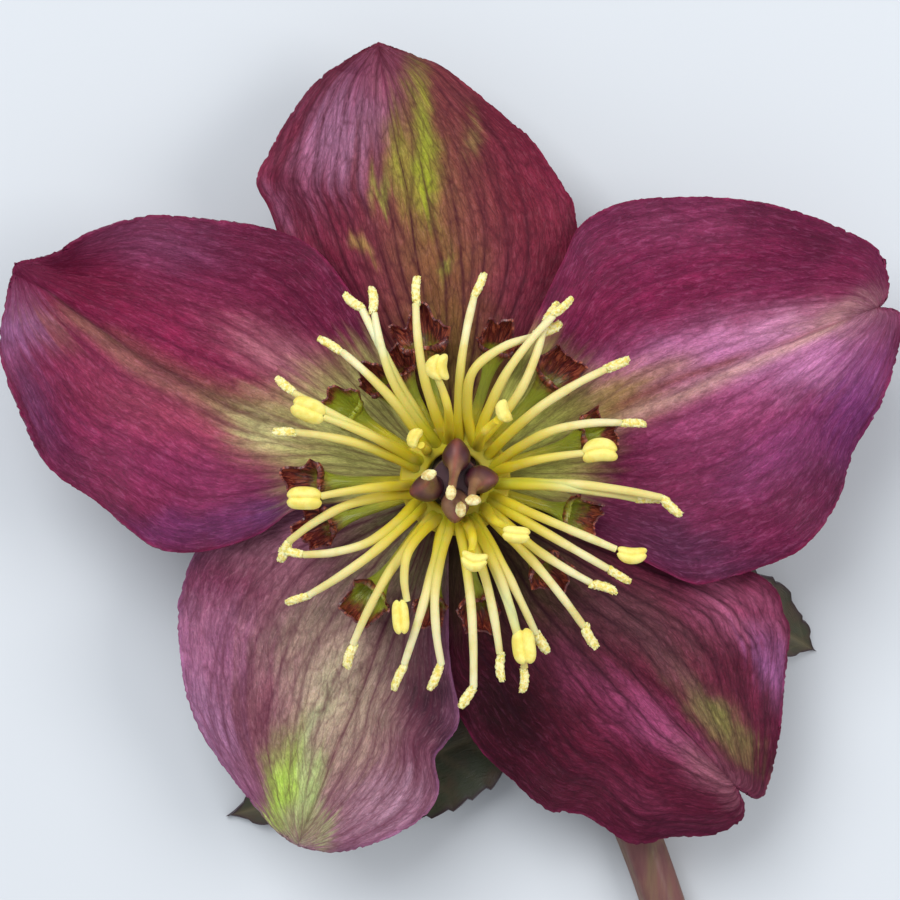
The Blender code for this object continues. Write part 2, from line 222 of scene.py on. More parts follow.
# Fine streaks that run along a blade: a shade about 1 and a height
def fibreGroup():
    group, source, result = newGroup(
        "bladeFibres",
        [("Vector", "NodeSocketVector", None), ("Along", "NodeSocketFloat", 24.0),
         ("Across", "NodeSocketFloat", 130.0), ("Contrast", "NodeSocketFloat", 0.5)],
        [("Shade", "NodeSocketFloat"), ("Height", "NodeSocketFloat")])
    spread = stretched(group, *(source.outputs[label] for label in ("Vector", "Along", "Across")))
    streaks = feed(group, addNode(group, "ShaderNodeTexNoise", noise_dimensions="2D"),
                   Vector=spread, Scale=1.0, Detail=3.0, Roughness=0.65, Distortion=0.6)
    centred = maths(group, "SUBTRACT", streaks.outputs["Fac"], 0.5)
    swing = maths(group, "MULTIPLY", centred, source.outputs["Contrast"])
    feed(group, result, Shade=maths(group, "ADD", swing, 1.0), Height=streaks.outputs["Fac"])
    return group


# The fine meshes between veins, long along the blade: a mask that is 1 on the threads
def netGroup():
    group, source, result = newGroup(
        "veinNet",
        [("Vector", "NodeSocketVector", None), ("Along", "NodeSocketFloat", 14.0),
         ("Across", "NodeSocketFloat", 42.0), ("Width", "NodeSocketFloat", 0.06)],
        [("Mask", "NodeSocketFloat")])
    spread = stretched(group, *(source.outputs[label] for label in ("Vector", "Along", "Across")))
    cells = addNode(group, "ShaderNodeTexVoronoi", feature="DISTANCE_TO_EDGE",
                    voronoi_dimensions="2D")
    feed(group, cells, Vector=spread, Scale=1.0)
    share = maths(group, "DIVIDE", cells.outputs["Distance"], source.outputs["Width"])
    mask = maths(group, "SUBTRACT", 1.0, share)
    mask.node.use_clamp = True
    feed(group, result, Mask=mask)
    return group


# Soft irregular mottling: a value from 0 to 1
def mottleGroup():
    group, source, result = newGroup(
        "softMottle",
        [("Vector", "NodeSocketVector", None), ("Scale", "NodeSocketFloat", 900.0),
         ("Detail", "NodeSocketFloat", 4.0)],
        [("Value", "NodeSocketFloat")])
    given = {label: source.outputs[label] for label in ("Vector", "Scale", "Detail")}
    clouds = feed(group, addNode(group, "ShaderNodeTexNoise"), Roughness=0.6, **given)
    feed(group, result, Value=clouds.outputs["Fac"])
    return group


bladeFibres = fibreGroup()
veinNet = netGroup()
softMottle = mottleGroup()


def place(tree, group, **values):
    return feed(tree, addNode(tree, "ShaderNodeGroup", node_tree=group), **values)


def mottled(tree, vector, scale, detail):
    node = place(tree, softMottle, Vector=vector, Scale=scale, Detail=detail)
    return node.outputs["Value"]


# A colour mix: factor, first and second are sockets or plain values
def blend(tree, factor, first, second, mode="MIX"):
    node = addNode(tree, "ShaderNodeMix", data_type="RGBA", blend_type=mode)
    node.clamp_factor = True
    for socket, value in zip((node.inputs[0], node.inputs[6], node.inputs[7]),
                             (factor, first, second)):
        if isinstance(value, (int, float)):
            socket.default_value = value
        elif isinstance(value, tuple):
            socket.default_value = (*value, 1.0)
        else:
            tree.links.new(value, socket)
    return node.outputs[2]


# A soft step: while the value goes from low to high, the result goes from first to last
def ramp(tree, value, low, high, first=0.0, last=1.0):
    node = addNode(tree, "ShaderNodeMapRange", interpolation_type="SMOOTHSTEP")
    for socket, number in enumerate((low, high, first, last), start=1):
        node.inputs[socket].default_value = number
    tree.links.new(value, node.inputs[0])
    return node.outputs[0]


# A colour laid over the body where the value steps from low to high, as in ramp
def overlaid(tree, body, colour, value, *steps):
    return blend(tree, ramp(tree, value, *steps), body, colour)


# The colour made lighter or darker by a value about 1
def shaded(tree, colour, shade):
    grey = addNode(tree, "ShaderNodeCombineColor")
    for socket in grey.inputs:
        tree.links.new(shade, socket)
    return blend(tree, 1.0, colour, grey.outputs[0], "MULTIPLY")


def newMaterial(name, **constants):
    material = bpy.data.materials.new(name)
    material.use_nodes = True
    tree = material.node_tree
    return material, tree, feed(tree, tree.nodes["Principled BSDF"], **constants)


def bump(tree, shader, height, strength, distance):
    node = feed(tree, addNode(tree, "ShaderNodeBump"), Strength=strength, Distance=distance,
                Height=height)
    feed(tree, shader, Normal=node.outputs["Normal"])


# The colour goes into the material, and its roughness rises with the value from low to high
def connect(tree, shader, body, value, low, high):
    feed(tree, shader, Base_Color=body, Roughness=ramp(tree, value, 0.3, 0.7, low, high))


def attribute(tree, name, output="Fac"):
    node = addNode(tree, "ShaderNodeAttribute", attribute_name=name)
    return node.outputs[output]


def bladeUv(tree):
    return addNode(tree, "ShaderNodeUVMap", uv_map="bladeUv").outputs[0]


def objectCoords(tree):
    return addNode(tree, "ShaderNodeTexCoord").outputs["Object"]


# Sepals

sepalBuild = {
    "rows": 200, "columns": 150, "thickness": 0.56, "rimShare": 0.45,
    "baseHeight": 11.95, "lap": 0.75, "lapSides": (0.3, 0.8), "lapReach": (2.8, 7.0),
    "crownReach": (9.0, 24.0), "groove": 0.35, "grooveWidth": 0.08,
    "waveReach": (19.0, 29.0), "tipFade": 0.1, "tipRadius": 38.0,
    "crinkle": 0.01, "veinWidth": 0.21, "veinDepth": 0.08, "quilt": 0.09, "rimWidth": 0.32,
}

# Margins are (azimuth in degrees, radius in millimetres) from the foot out, the left one on
# the counter-clockwise side. Creases run along the blade: place across it, width, start, end,
# colour, strength. Tones are soft patches, mostly the sepal's own colour and some of them painted
# light (painted reflections of the sky and painted shadows): x, y, length, width, turn, colour,
# strength. The rim colour is the sepal's own crimson edge, partly a painted highlight.
sepals = {
    "sepal_top": {
        "left": [(122, 2.6), (122, 6), (126, 10), (129, 15), (128, 22), (124.5, 27.5),
                 (123.6, 30.2), (119, 31.9), (113, 34.3), (107.5, 36.1)],
        "right": [(62, 2.6), (62, 6), (60, 10), (59, 15), (61, 21), (66, 24.8),
                  (69.3, 26.2), (77, 29.3), (81.2, 30.6), (87.9, 33.1), (92.7, 35.2)],
        "tip": (100, 37.3), "laps": (-1, -1), "tipRise": -2.6, "crown": 0.8,
        "wave": 0.9, "waves": 3.0, "phase": 0.4, "veinStrength": 1.15, "gleam": 0.1,
        "gleamColour": ink(176, 120, 130), "grooveAt": 0.0,
        "body": ink(112, 34, 58), "foot": ink(122, 100, 45), "footReach": (14, 0.0),
        "edge": ink(90, 16, 40), "rim": ink(120, 26, 56), "vein": ink(60, 12, 28),
        "creases": [],
        "tonesAndPaintedLight": [
            # painted reflection: the lilac sky sheen on the upper left of the sepal
            (-9.5, 29, 5.5, 3, 60, ink(168, 116, 150), 0.75),
            (-6, 33.5, 3, 2, 30, ink(150, 70, 110), 0.6),
            (6, 22, 8, 3.4, 110, ink(106, 26, 44), 0.75),
            (-10.5, 20.5, 4, 2.4, 100, ink(108, 28, 50), 0.6),
            (-2, 22, 12, 4.4, 96, ink(128, 90, 52), 0.62),
            (-1, 14, 6, 3.4, 92, ink(116, 82, 38), 0.6),
            (-4.6, 26.5, 4.2, 1, 100, ink(146, 146, 50), 0.75),
            (-2.6, 28.6, 5.4, 1, 96, ink(158, 166, 50), 0.9),
            (-2.4, 24.5, 2.8, 0.8, 92, ink(150, 160, 34), 0.85),
            (-6.2, 24.2, 1.3, 0.8, 90, ink(150, 155, 60), 0.75),
            (1.2, 28.8, 1.8, 0.7, 90, ink(140, 120, 70), 0.7),
            (-0.8, 17.8, 1.2, 0.4, 90, ink(150, 160, 60), 0.7),
            (-7.5, 19.4, 1, 0.5, 120, ink(165, 140, 70), 0.6),
            (-15.2, 23.5, 2.5, 0.6, 115, ink(150, 90, 120), 0.45),
        ],
    },
    "sepal_left": {
        "left": [(190, 2.6), (192, 6), (191, 10), (190.5, 13.5), (195.5, 17), (196, 21.5),
                 (193.4, 25.2), (188, 27.7), (183.3, 30.1), (178.1, 34.1), (170, 37.1),
                 (164, 39.5), (158, 40.5)],
        "right": [(126, 2.6), (121, 6), (119.5, 10), (119.3, 14.3), (119.3, 18.7), (121.2, 22.6),
                  (125.7, 25.7), (132.4, 29.3), (139.2, 33.9), (145.7, 36.6), (150.1, 38.2)],
        "tip": (153.8, 41.0), "laps": (1, 1), "tipRise": 0.6, "crown": -0.7,
        "wave": 1.1, "waves": 3.5, "phase": 2.2, "veinStrength": 0.7, "gleam": 0.09,
        "gleamColour": ink(196, 132, 170), "grooveAt": 0.17,
        "body": ink(120, 34, 68), "foot": ink(196, 196, 114), "footReach": (16, 0.0),
        "edge": ink(80, 24, 50), "rim": ink(130, 24, 68), "vein": ink(72, 14, 40),
        "creases": [(0.17, 0.03, 0.3, 0.97, ink(70, 40, 34), 0.75),
                    (0.23, 0.05, 0.35, 0.9, ink(142, 112, 84), 0.42),
                    (0.12, 0.05, 0.25, 0.8, ink(128, 92, 66), 0.28)],
        "tonesAndPaintedLight": [
            (-24, 19.5, 6.5, 2.2, 170, ink(114, 60, 92), 0.6),
            (-13, 16.5, 6, 3.5, 120, ink(86, 16, 44), 0.75),
            (-31, 16.2, 5.5, 2.6, 160, ink(100, 10, 42), 0.8),
            (-22, 11, 9, 2.6, 155, ink(128, 26, 64), 0.6),
            (-14.5, 10, 5, 2, 150, ink(176, 112, 122), 0.65),
            # painted reflection: lilac sky sheen at the left edge
            (-36.3, 12.4, 2.6, 2, 80, ink(156, 104, 150), 0.65),
            (-23, 5.2, 9, 2.4, 158, ink(154, 66, 88), 0.6),
            (-21.5, 0, 8, 2.6, 165, ink(128, 48, 90), 0.5),
            (-22, -4, 7, 1.8, 185, ink(92, 42, 88), 0.65),
            (-15.5, -2.6, 2.5, 1.6, 190, ink(98, 52, 98), 0.7),
            (-33.5, 12.6, 2.6, 1.2, 140, ink(140, 98, 84), 0.5),
            (-17.5, 5.6, 3.5, 1.8, 155, ink(150, 124, 84), 0.6),
            # painted reflection: greyish lilac sky sheen along the lower left margin
            (-34.6, 6.2, 3.6, 1.4, 105, ink(112, 72, 112), 0.5),
            (-33, 4.5, 4, 1.6, 110, ink(88, 30, 66), 0.45),
            (-15.4, 4.2, 3.2, 2.2, 165, ink(212, 210, 140), 0.8),
        ],
    },
    "sepal_right": {
        "left": [(54, 2.6), (61, 6), (63, 10), (63.5, 14), (63.8, 20.5), (63.6, 23.9),
                 (58.7, 27.1), (49.6, 31.1), (44.2, 33.6), (38.8, 35.9), (33.3, 38.4),
                 (28.8, 40.2), (25.5, 40.0), (23.3, 39.3)],
        "right": [(-15, 2.6), (-17, 6), (-21, 10), (-22.4, 13.3), (-23.3, 17.2), (-23.7, 21.1),
                  (-22.0, 22.9), (-15, 27.2), (-10.2, 29.8), (-2.8, 32.1), (4.4, 33.5),
                  (9.4, 35.7), (13.7, 37.5), (18.5, 39.4), (20.8, 39.5)],
        "tip": (22.1, 38.0), "laps": (1, 1), "tipRise": 0.4, "crown": 0.9,
        "wave": 1.1, "waves": 4.0, "phase": 0.9, "veinStrength": 0.6, "gleam": 0.09,
        "gleamColour": ink(200, 140, 180), "grooveAt": 0.03,
        "body": ink(114, 34, 70), "foot": ink(186, 190, 92), "footReach": (14, 2.5),
        "edge": ink(80, 22, 50), "rim": ink(134, 24, 68), "vein": ink(72, 16, 44),
        "creases": [(0.05, 0.035, 0.3, 0.72, ink(112, 52, 48), 0.8),
                    (0.04, 0.03, 0.7, 0.98, ink(150, 84, 88), 0.5),
                    # painted highlight along the fold beside the midrib
                    (-0.03, 0.045, 0.32, 0.97, ink(190, 154, 134), 0.55),
                    (0.12, 0.05, 0.25, 0.6, ink(146, 112, 76), 0.6)],
        "tonesAndPaintedLight": [
            (21, 17, 9, 3, 20, ink(114, 20, 60), 0.65),
            (29.5, 20, 6, 2.8, -35, ink(84, 14, 46), 0.8),
            (18, 21, 5, 2, 5, ink(124, 52, 84), 0.45),
            (11.5, 14.5, 4, 4, 60, ink(112, 24, 58), 0.6),
            (30, 15, 5, 1.6, 40, ink(122, 24, 66), 0.6),
            # painted reflection: the broad lilac sky sheen across the sepal, in this tone and the
            # next
            (24, 11, 9, 2.1, 14, ink(210, 150, 182), 0.85),
            (29.5, 9.6, 5, 2.2, 20, ink(194, 124, 170), 0.8),
            (34.5, 9.5, 2.5, 2.5, 0, ink(118, 52, 96), 0.6),
            # painted reflection, part of the same lilac sheen
            (20, 10, 8, 2.4, 10, ink(168, 84, 140), 0.6),
            (31, 13.2, 4, 1.3, 22, ink(172, 132, 112), 0.5),
            (13, 6.4, 4.2, 2, 25, ink(178, 150, 84), 0.8),
            (22, 5.4, 5.5, 2.2, 12, ink(160, 74, 118), 0.6),
            (24, 0.6, 8, 2.6, -15, ink(104, 38, 72), 0.6),
            (30.6, 0.6, 5, 4, 60, ink(80, 24, 52), 0.8),
            (19, -5.5, 7, 2.8, -20, ink(76, 36, 64), 0.75),
            # painted reflection: bluish sheen near the lower right margin
            (33, 6, 4, 2.2, 80, ink(112, 58, 118), 0.6),
            (28, 3, 6, 2.4, 30, ink(134, 60, 112), 0.5),
        ],
    },
    "sepal_lower_left": {
        "left": [(264, 2.6), (265, 6), (267, 10), (268.3, 15), (271, 20), (267.9, 22.1),
                 (265.9, 23.4), (267, 26.2), (264.1, 28.7), (257.8, 31.1), (251.6, 32.9)],
        "right": [(197, 2.6), (190, 6), (188, 10), (188, 14), (189, 19), (195.7, 22.7),
                  (202.2, 24.9), (206, 26), (211.7, 27.2), (219.6, 29.2), (226.8, 30.5),
                  (235.6, 31.8), (242.5, 33.0)],
        "tip": (246.8, 33.4), "laps": (1, -1), "tipRise": -2.2, "crown": 0.6,
        "wave": 0.8, "waves": 3.0, "phase": 3.5, "veinStrength": 1.0, "gleam": 0.14,
        "gleamColour": ink(190, 150, 160), "grooveAt": 0.0,
        "body": ink(132, 80, 96), "foot": ink(128, 124, 84), "footReach": (13, 0.0),
        "edge": ink(128, 76, 110), "rim": ink(150, 92, 136), "vein": ink(84, 36, 54),
        "creases": [(0.0, 0.03, 0.35, 0.95, ink(112, 66, 70), 0.4)],
        "tonesAndPaintedLight": [
            # painted shadow cast by the left sepal across the top of this one
            (-20, -8.5, 4, 2.4, 170, ink(94, 26, 54), 0.85),
            # painted reflection: lilac sky sheen along the left margin, in this tone and the next
            (-19.5, -15, 5, 2.6, 100, ink(150, 92, 128), 0.65),
            (-20.4, -20, 5, 1.1, 118, ink(158, 112, 146), 0.7),
            (-15, -13, 3.6, 1.3, 45, ink(104, 56, 74), 0.45),
            (-10.3, -17.4, 5.5, 2.8, 65, ink(192, 176, 146), 0.8),
            (-12.5, -12.5, 5, 2.6, 50, ink(144, 126, 106), 0.7),
            (-8, -19, 8, 3.6, 75, ink(160, 142, 120), 0.75),
            # painted shade in the valley of a soft fold
            (-16.6, -19.4, 5, 1.8, 105, ink(112, 62, 72), 0.7),
            (-11.5, -19.5, 3.5, 0.7, 70, ink(154, 160, 118), 0.65),
            (-14.4, -25.8, 4.2, 1.2, 80, ink(168, 204, 72), 0.95),
            (-12.6, -26.2, 4.4, 1.3, 85, ink(178, 200, 124), 0.9),
            (-11, -29.5, 2, 0.9, 100, ink(160, 176, 110), 0.7),
            # painted reflection: lilac sky sheen at the bottom of the sepal
            (-5.5, -27, 4.6, 2.4, 25, ink(170, 130, 150), 0.75),
            (-2.6, -23, 4, 1.4, 95, ink(142, 74, 92), 0.55),
            # painted shadow on the upper right of the sepal, towards the middle
            (-1.9, -18.8, 6.5, 2.6, 95, ink(50, 20, 36), 0.95),
            (-4.5, -13.5, 4.5, 2.4, 90, ink(96, 72, 68), 0.65),
        ],
    },
    "sepal_lower_right": {
        "left": [(341, 2.6), (344, 6), (344, 10), (344, 14), (343, 20), (343, 25.5),
                 (341.4, 28.4), (338, 29.9), (335.5, 31.1), (328.5, 32.7), (321, 35.1),
                 (316, 36.9), (313.6, 37.2)],
        "right": [(273, 2.6), (264, 6), (262, 10), (262.5, 14), (264, 17.5), (270.8, 19.8),
                  (275.2, 22.8), (280.5, 25.6), (285.4, 28.8), (291, 30.3), (295.8, 34.2),
                  (301.2, 35.4), (306.6, 37.2), (310.8, 37.4)],
        "tip": (312.5, 34.9), "laps": (-1, -1), "tipRise": -2.8, "crown": 0.5,
        "wave": 0.9, "waves": 3.5, "phase": 1.6, "veinStrength": 1.0, "gleam": 0.07,
        "gleamColour": ink(170, 96, 132), "grooveAt": 0.0,
        # this sepal's dark foot is its own olive base, partly darkened by painted shade under the
        # overlapping sepals
        "body": ink(92, 22, 46), "foot": ink(72, 58, 38), "footReach": (15, 0.0),
        "edge": ink(76, 16, 42), "rim": ink(112, 26, 64), "vein": ink(40, 8, 22),
        "creases": [(0.02, 0.03, 0.5, 0.95, ink(92, 40, 54), 0.5)],
        "tonesAndPaintedLight": [
            # painted shadow where the lower left sepal lies over this one
            (4.3, -20, 9, 4.2, 112, ink(30, 2, 8), 1),
            # partly painted shade near the foot, under the overlapping sepals
            (9, -13, 6, 3.6, 120, ink(66, 34, 38), 0.8),
            (15, -11.5, 7, 2.6, 150, ink(92, 62, 66), 0.65),
            (11.5, -18, 6, 1.4, 135, ink(132, 50, 86), 0.6),
            (17.5, -21, 6, 1.6, 140, ink(150, 68, 108), 0.75),
            (21.5, -24.5, 3.4, 1.4, 140, ink(156, 100, 112), 0.6),
            (10.5, -25.5, 7, 2.4, 150, ink(66, 12, 32), 0.75),
            (16, -27, 4, 1.4, 150, ink(122, 46, 74), 0.6),
            (20, -29.6, 5, 1.2, 165, ink(62, 14, 36), 0.7),
            (20, -17.5, 6, 1.2, 135, ink(110, 76, 76), 0.6),
            (22.4, -20.4, 3.4, 1.1, 130, ink(124, 126, 60), 0.8),
            (20.6, -19.8, 3, 0.8, 132, ink(122, 108, 70), 0.6),
            (24, -22.6, 2.2, 0.8, 125, ink(128, 104, 72), 0.6),
            (24, -11.5, 4, 2.2, 150, ink(166, 88, 120), 0.75),
            (26.4, -15.5, 3, 1.3, 110, ink(150, 90, 140), 0.7),
            (24.5, -10.8, 2.2, 0.5, 160, ink(110, 30, 60), 0.5),
        ],
    },
}


# A flat grid from -1 to 1, along the blade in x and across it in y
def bladeGrid(name, rows, columns):
    deselect()
    bpy.ops.mesh.primitive_grid_add(x_subdivisions=rows, y_subdivisions=columns, size=2.0)
    piece = bpy.context.active_object
    piece.name = name + "_dressed"
    piece.data.uv_layers[0].name = "bladeUv"
    return piece


def sepalHeight(sepal, point, along, across):
    build = sepalBuild
    radius = point.length
    across *= min(1.0, (1.0 - along) / build["tipFade"])  # the relief fades out into the tip
    side = sepal["laps"][0] if across > 0 else sepal["laps"][1]
    lap = build["lap"] * side * smoothstep(*build["lapSides"], abs(across))
    lap *= smoothstep(*build["lapReach"], radius)
    outer = smoothstep(*build["crownReach"], radius)
    crown = sepal["crown"] * outer * (1 - across * across)
    inGroove = math.exp(-(((across - sepal["grooveAt"]) / build["grooveWidth"]) ** 2))
    groove = build["groove"] * outer * inGroove
    swing = math.sin(2 * math.pi * sepal["waves"] * along + sepal["phase"] + across)
    wave = sepal["wave"] * swing * across * across
    wave *= smoothstep(*build["waveReach"], radius)
    rise = sepal["tipRise"] * (radius / build["tipRadius"]) ** 2
    return build["baseHeight"] + lap + crown - groove + wave + rise


# Veins: shares of the blade's length and half width, strengths, and places where they fork
veining = {
    "pairs": 5, "lanes": 6.2, "start": 0.04, "end": 0.985, "margin": 0.99,
    "step": 0.004, "spread": 0.003, "drifts": (0.5, 1.6), "forks": (0.22, 0.5),
    "nextForks": (0.1, 0.2), "orders": 3, "branchStrength": 0.62, "midribStrength": 1.15,
    "fade": 0.35, "wobble": 0.012, "wobbles": 17, "bow": (0.62, 0.5), "outermost": 0.995,
}


# Points along the veins of a sepal, each with its strength
def veinTree(sepal, locate):
    build = veining
    narrow, widening = build["bow"]
    chance = random.Random(sepal["phase"])
    threads = []
    for number in range(-build["pairs"], build["pairs"] + 1):
        strength = 1.0 if number else build["midribStrength"]
        threads.append((number / build["lanes"], build["start"], 1.0, strength, 0))
    while threads:
        share, begin, drift, strength, order = threads.pop()
        side = 1 if share > 0 else -1 if share < 0 else chance.choice((-1, 1))
        wobble = chance.uniform(0, 6.28)
        fork = chance.uniform(*build["forks"]) if order < build["orders"] else 2.0
        position = begin
        while position < build["end"] and abs(share) < build["margin"]:
            reach = share * (narrow + widening * position) if order == 0 else share
            reach += build["wobble"] * math.sin(position * build["wobbles"] + wobble)
            if abs(reach) < build["outermost"]:
                yield locate(position, reach), strength * (1.0 - build["fade"] * position)
            if order:
                share += side * drift * build["spread"]
            if position > begin + fork:
                fork += chance.uniform(*build["nextForks"])
                threads.append((reach, position, chance.uniform(*build["drifts"]),
                                strength * build["branchStrength"], order + 1))
                if order == build["orders"] - 1:
                    fork = 2.0
            position += build["step"]


# A search tree that finds the nearest of the points
def nearestOf(points):
    search = kdtree.KDTree(len(points))
    for index, point in enumerate(points):
        search.insert(point, index)
    search.balance()
    return search


def makeSepal(name, sepal, material):
    build = sepalBuild
    rows = build["rows"]
    piece = bladeGrid(name, rows, build["columns"])
    tip = polar(*sepal["tip"])
    left = curveThrough([polar(*p) for p in sepal["left"]] + [tip], rows + 1)
    right = curveThrough([polar(*p) for p in sepal["right"]] + [tip], rows + 1)
    foot = (left[0] + right[0]) / 2

    def locate(along, across):
        row = min(rows - 1, int(along * rows))
        share = along * rows - row
        midrib = foot.lerp(tip, along)
        side = left if across > 0 else right
        margin = side[row].lerp(side[row + 1], share)
        return midrib.lerp(margin, abs(across))

    veinPoints = list(veinTree(sepal, locate))
    nearestVein = nearestOf([point for point, _ in veinPoints])
    nearestRim = nearestOf(left + right)
    veins, tints, edges = [], [], []
    for vertex in piece.data.vertices:
        along, across = (vertex.co.x + 1) / 2, vertex.co.y
        flat = locate(along, across)
        fray = noise.noise(flat * 1.3) + 0.6 * noise.noise(flat * 3.1)
        flat *= 1 - build["crinkle"] * abs(fray) * smoothstep(0.9, 1.0, abs(across))
        _, index, distance = nearestVein.find(flat)
        vein = veinPoints[index][1] * math.exp(-((distance / build["veinWidth"]) ** 2))
        _, _, toRim = nearestRim.find(flat)
        point = flat.copy()
        point.z = sepalHeight(sepal, flat, along, across)
        point.z += build["quilt"] * noise.noise(flat * 0.9) - build["veinDepth"] * vein
        vertex.co = point
        veins.append(vein)
        edges.append(math.exp(-toRim / build["rimWidth"]))
        tints.append(sepalTint(sepal, flat, along, across, toRim))
    paint(piece, "tint", tints)
    weigh(piece, "vein", veins)
    weigh(piece, "rim", edges)
    applyModifier(piece, "WELD", merge_threshold=weldReach)
    group = piece.vertex_groups.new(name="thick")
    for index, value in enumerate(readWeights(piece, "rim")):
        group.add([index], 1.0 - (1.0 - build["rimShare"]) * value, "REPLACE")
    applyModifier(piece, "SOLIDIFY", thickness=build["thickness"], offset=0.0,
                  vertex_group="thick", use_rim=True)
    finish(piece, material, name, angle=40)


# How the colours meet, in millimetres and shares: tones are drawn out into strands, and the
# foot's colour runs out between footBlend before and after its reach
sepalPaint = {
    "strands": (26, 3.2), "strandPull": (2.0, 1.1), "sideways": (0.9, 0.25),
    "edgeWidth": 2.2, "edgeStrength": 0.75, "rimWidth": 0.22, "rimStrength": (0.45, 0.4),
    "footBlend": (5.5, 2.5), "footStrength": 0.92, "footStrands": 1.8, "footSides": 3.0,
    "creaseBlend": 0.1, "creaseWander": 0.012,
}


# The colour of one place on a sepal, with its painted reflections, painted shadows and rim
# highlight, before its veins and fibres
def sepalTint(sepal, flat, along, across, toRim):
    brush = sepalPaint
    strand = Vector((across * brush["strands"][0], along * brush["strands"][1], sepal["phase"]))
    outward = flat.normalized()
    aside = Vector((-outward.y, outward.x, 0))
    broad, fine = brush["strandPull"]
    spot = flat + outward * (broad * noise.noise(strand) + fine * noise.noise(strand * 2.3))
    broad, fine = brush["sideways"]
    spot += aside * (broad * noise.noise(flat * 0.4) + fine * noise.noise(flat * 1.7))
    nearEdge = math.exp(-(toRim / brush["edgeWidth"]) ** 1.5)
    colour = mix(sepal["body"], sepal["edge"], brush["edgeStrength"] * nearEdge)
    for x, y, length, width, turn, tone, strength in sepal["tonesAndPaintedLight"]:
        angle = math.radians(turn)
        dx, dy = spot.x - x, spot.y - y
        lengthwise = (dx * math.cos(angle) + dy * math.sin(angle)) / length
        crosswise = (dy * math.cos(angle) - dx * math.sin(angle)) / width
        near = math.exp(-(lengthwise**2 + crosswise**2) ** 1.1)
        colour = mix(colour, tone, strength * near)
    reach, lean = sepal["footReach"]
    reach += lean * across + brush["footStrands"] * noise.noise(strand)
    reach -= brush["footSides"] * abs(across)
    before, after = brush["footBlend"]
    footShare = 1 - smoothstep(reach - before, reach + after, flat.length)
    colour = mix(colour, sepal["foot"], brush["footStrength"] * footShare)
    blur = brush["creaseBlend"]
    for centre, width, begin, end, tone, strength in sepal["creases"]:
        centre += brush["creaseWander"] * noise.noise(Vector((along * 9, centre * 40, 0)))
        near = math.exp(-((across - centre) / width) ** 2)
        near *= smoothstep(begin - blur, begin + blur, along)
        near *= 1 - smoothstep(end - blur, end, along)
        colour = mix(colour, tone, strength * near)
    # the rim line: the sepal's own crimson edge, partly a painted highlight along it
    mean, swing = brush["rimStrength"]
    uneven = mean + swing * noise.noise(flat * 0.6)
    return mix(colour, sepal["rim"], uneven * math.exp(-(toRim / brush["rimWidth"]) ** 2))


def sepalFinish(name, sepal):
    material, tree, shader = newMaterial(
        name + "_finish", Sheen_Weight=0.02, Sheen_Roughness=0.4, Specular_IOR_Level=0.09,
        Sheen_Tint=(0.85, 0.6, 0.8, 1.0), Subsurface_Weight=0.06, Subsurface_Scale=0.0005)
    uv = bladeUv(tree)
    coords = objectCoords(tree)
    broad = place(tree, bladeFibres, Vector=uv, Along=9.0, Across=34.0, Contrast=0.75)
    coarse = place(tree, bladeFibres, Vector=uv, Along=42.0, Across=110.0, Contrast=1.0)
    fine = place(tree, bladeFibres, Vector=uv, Along=130.0, Across=300.0, Contrast=1.1)
    mottle = mottled(tree, coords, 420.0, 5.0)
    shade = maths(tree, "MULTIPLY", coarse.outputs["Shade"], fine.outputs["Shade"])
    cloud = ramp(tree, mottle, 0.3, 0.7, 0.86, 1.14)
    shade = maths(tree, "MULTIPLY", maths(tree, "MULTIPLY", shade, cloud), broad.outputs["Shade"])
    body = shaded(tree, attribute(tree, "tint", "Color"), shade)
    body = overlaid(tree, body, sepal["gleamColour"], coarse.outputs["Height"],
                    0.5, 0.78, 0.0, sepal["gleam"])
    net = place(tree, veinNet, Vector=uv, Along=13.0, Across=46.0, Width=0.12)
    netShare = maths(tree, "MULTIPLY", net.outputs["Mask"], 0.36 * sepal["veinStrength"])
    body = blend(tree, netShare, body, sepal["vein"])
    broken = ramp(tree, mottle, 0.3, 0.6, 0.45, 1.0)
    veinShare = maths(tree, "MULTIPLY", attribute(tree, "vein"), broken)
    veinShare = maths(tree, "MULTIPLY", veinShare, sepal["veinStrength"])
    body = blend(tree, veinShare, body, sepal["vein"])
    gloss = ramp(tree, fine.outputs["Height"], 0.2, 0.8, 0.36, 0.52)
    feed(tree, shader, Base_Color=body, Roughness=gloss)
    height = maths(tree, "ADD", coarse.outputs["Height"], fine.outputs["Height"])
    bump(tree, shader, height, 0.35, 0.00012)
    return material


for sepalName, sepal in sepals.items():
    makeSepal(sepalName, sepal, sepalFinish(sepalName, sepal))
print("sepals done")


# Round pieces: each is modelled once as a straight tube, then shaped and laid along its path

# A tube of unit length up the Z axis, with rings to bend at and radius radiusAt(share)
def straightTube(name, sides, rings, radiusAt=lambda share: 1.0, ends="NGON"):
    deselect()
    bpy.ops.mesh.primitive_cylinder_add(vertices=sides, radius=1.0, depth=1.0,
                                        location=(0, 0, 0.5), end_fill_type=ends)
    piece = bpy.context.active_object
    piece.name = name
    applyPlace()
    bpy.ops.object.mode_set(mode="EDIT")
    bpy.ops.mesh.select_mode(type="EDGE")
    bpy.ops.mesh.select_all(action="DESELECT")
    bpy.ops.object.mode_set(mode="OBJECT")
    for edge in piece.data.edges:
        low, high = (piece.data.vertices[index].co.z for index in edge.vertices)
        edge.select = abs(low - high) > 0.5
    bpy.ops.object.mode_set(mode="EDIT")
    bpy.ops.mesh.subdivide(number_cuts=rings - 1)
    bpy.ops.object.mode_set(mode="OBJECT")
    for vertex in piece.data.vertices:
        radius = radiusAt(vertex.co.z)
        vertex.co.x *= radius
        vertex.co.y *= radius
    return piece


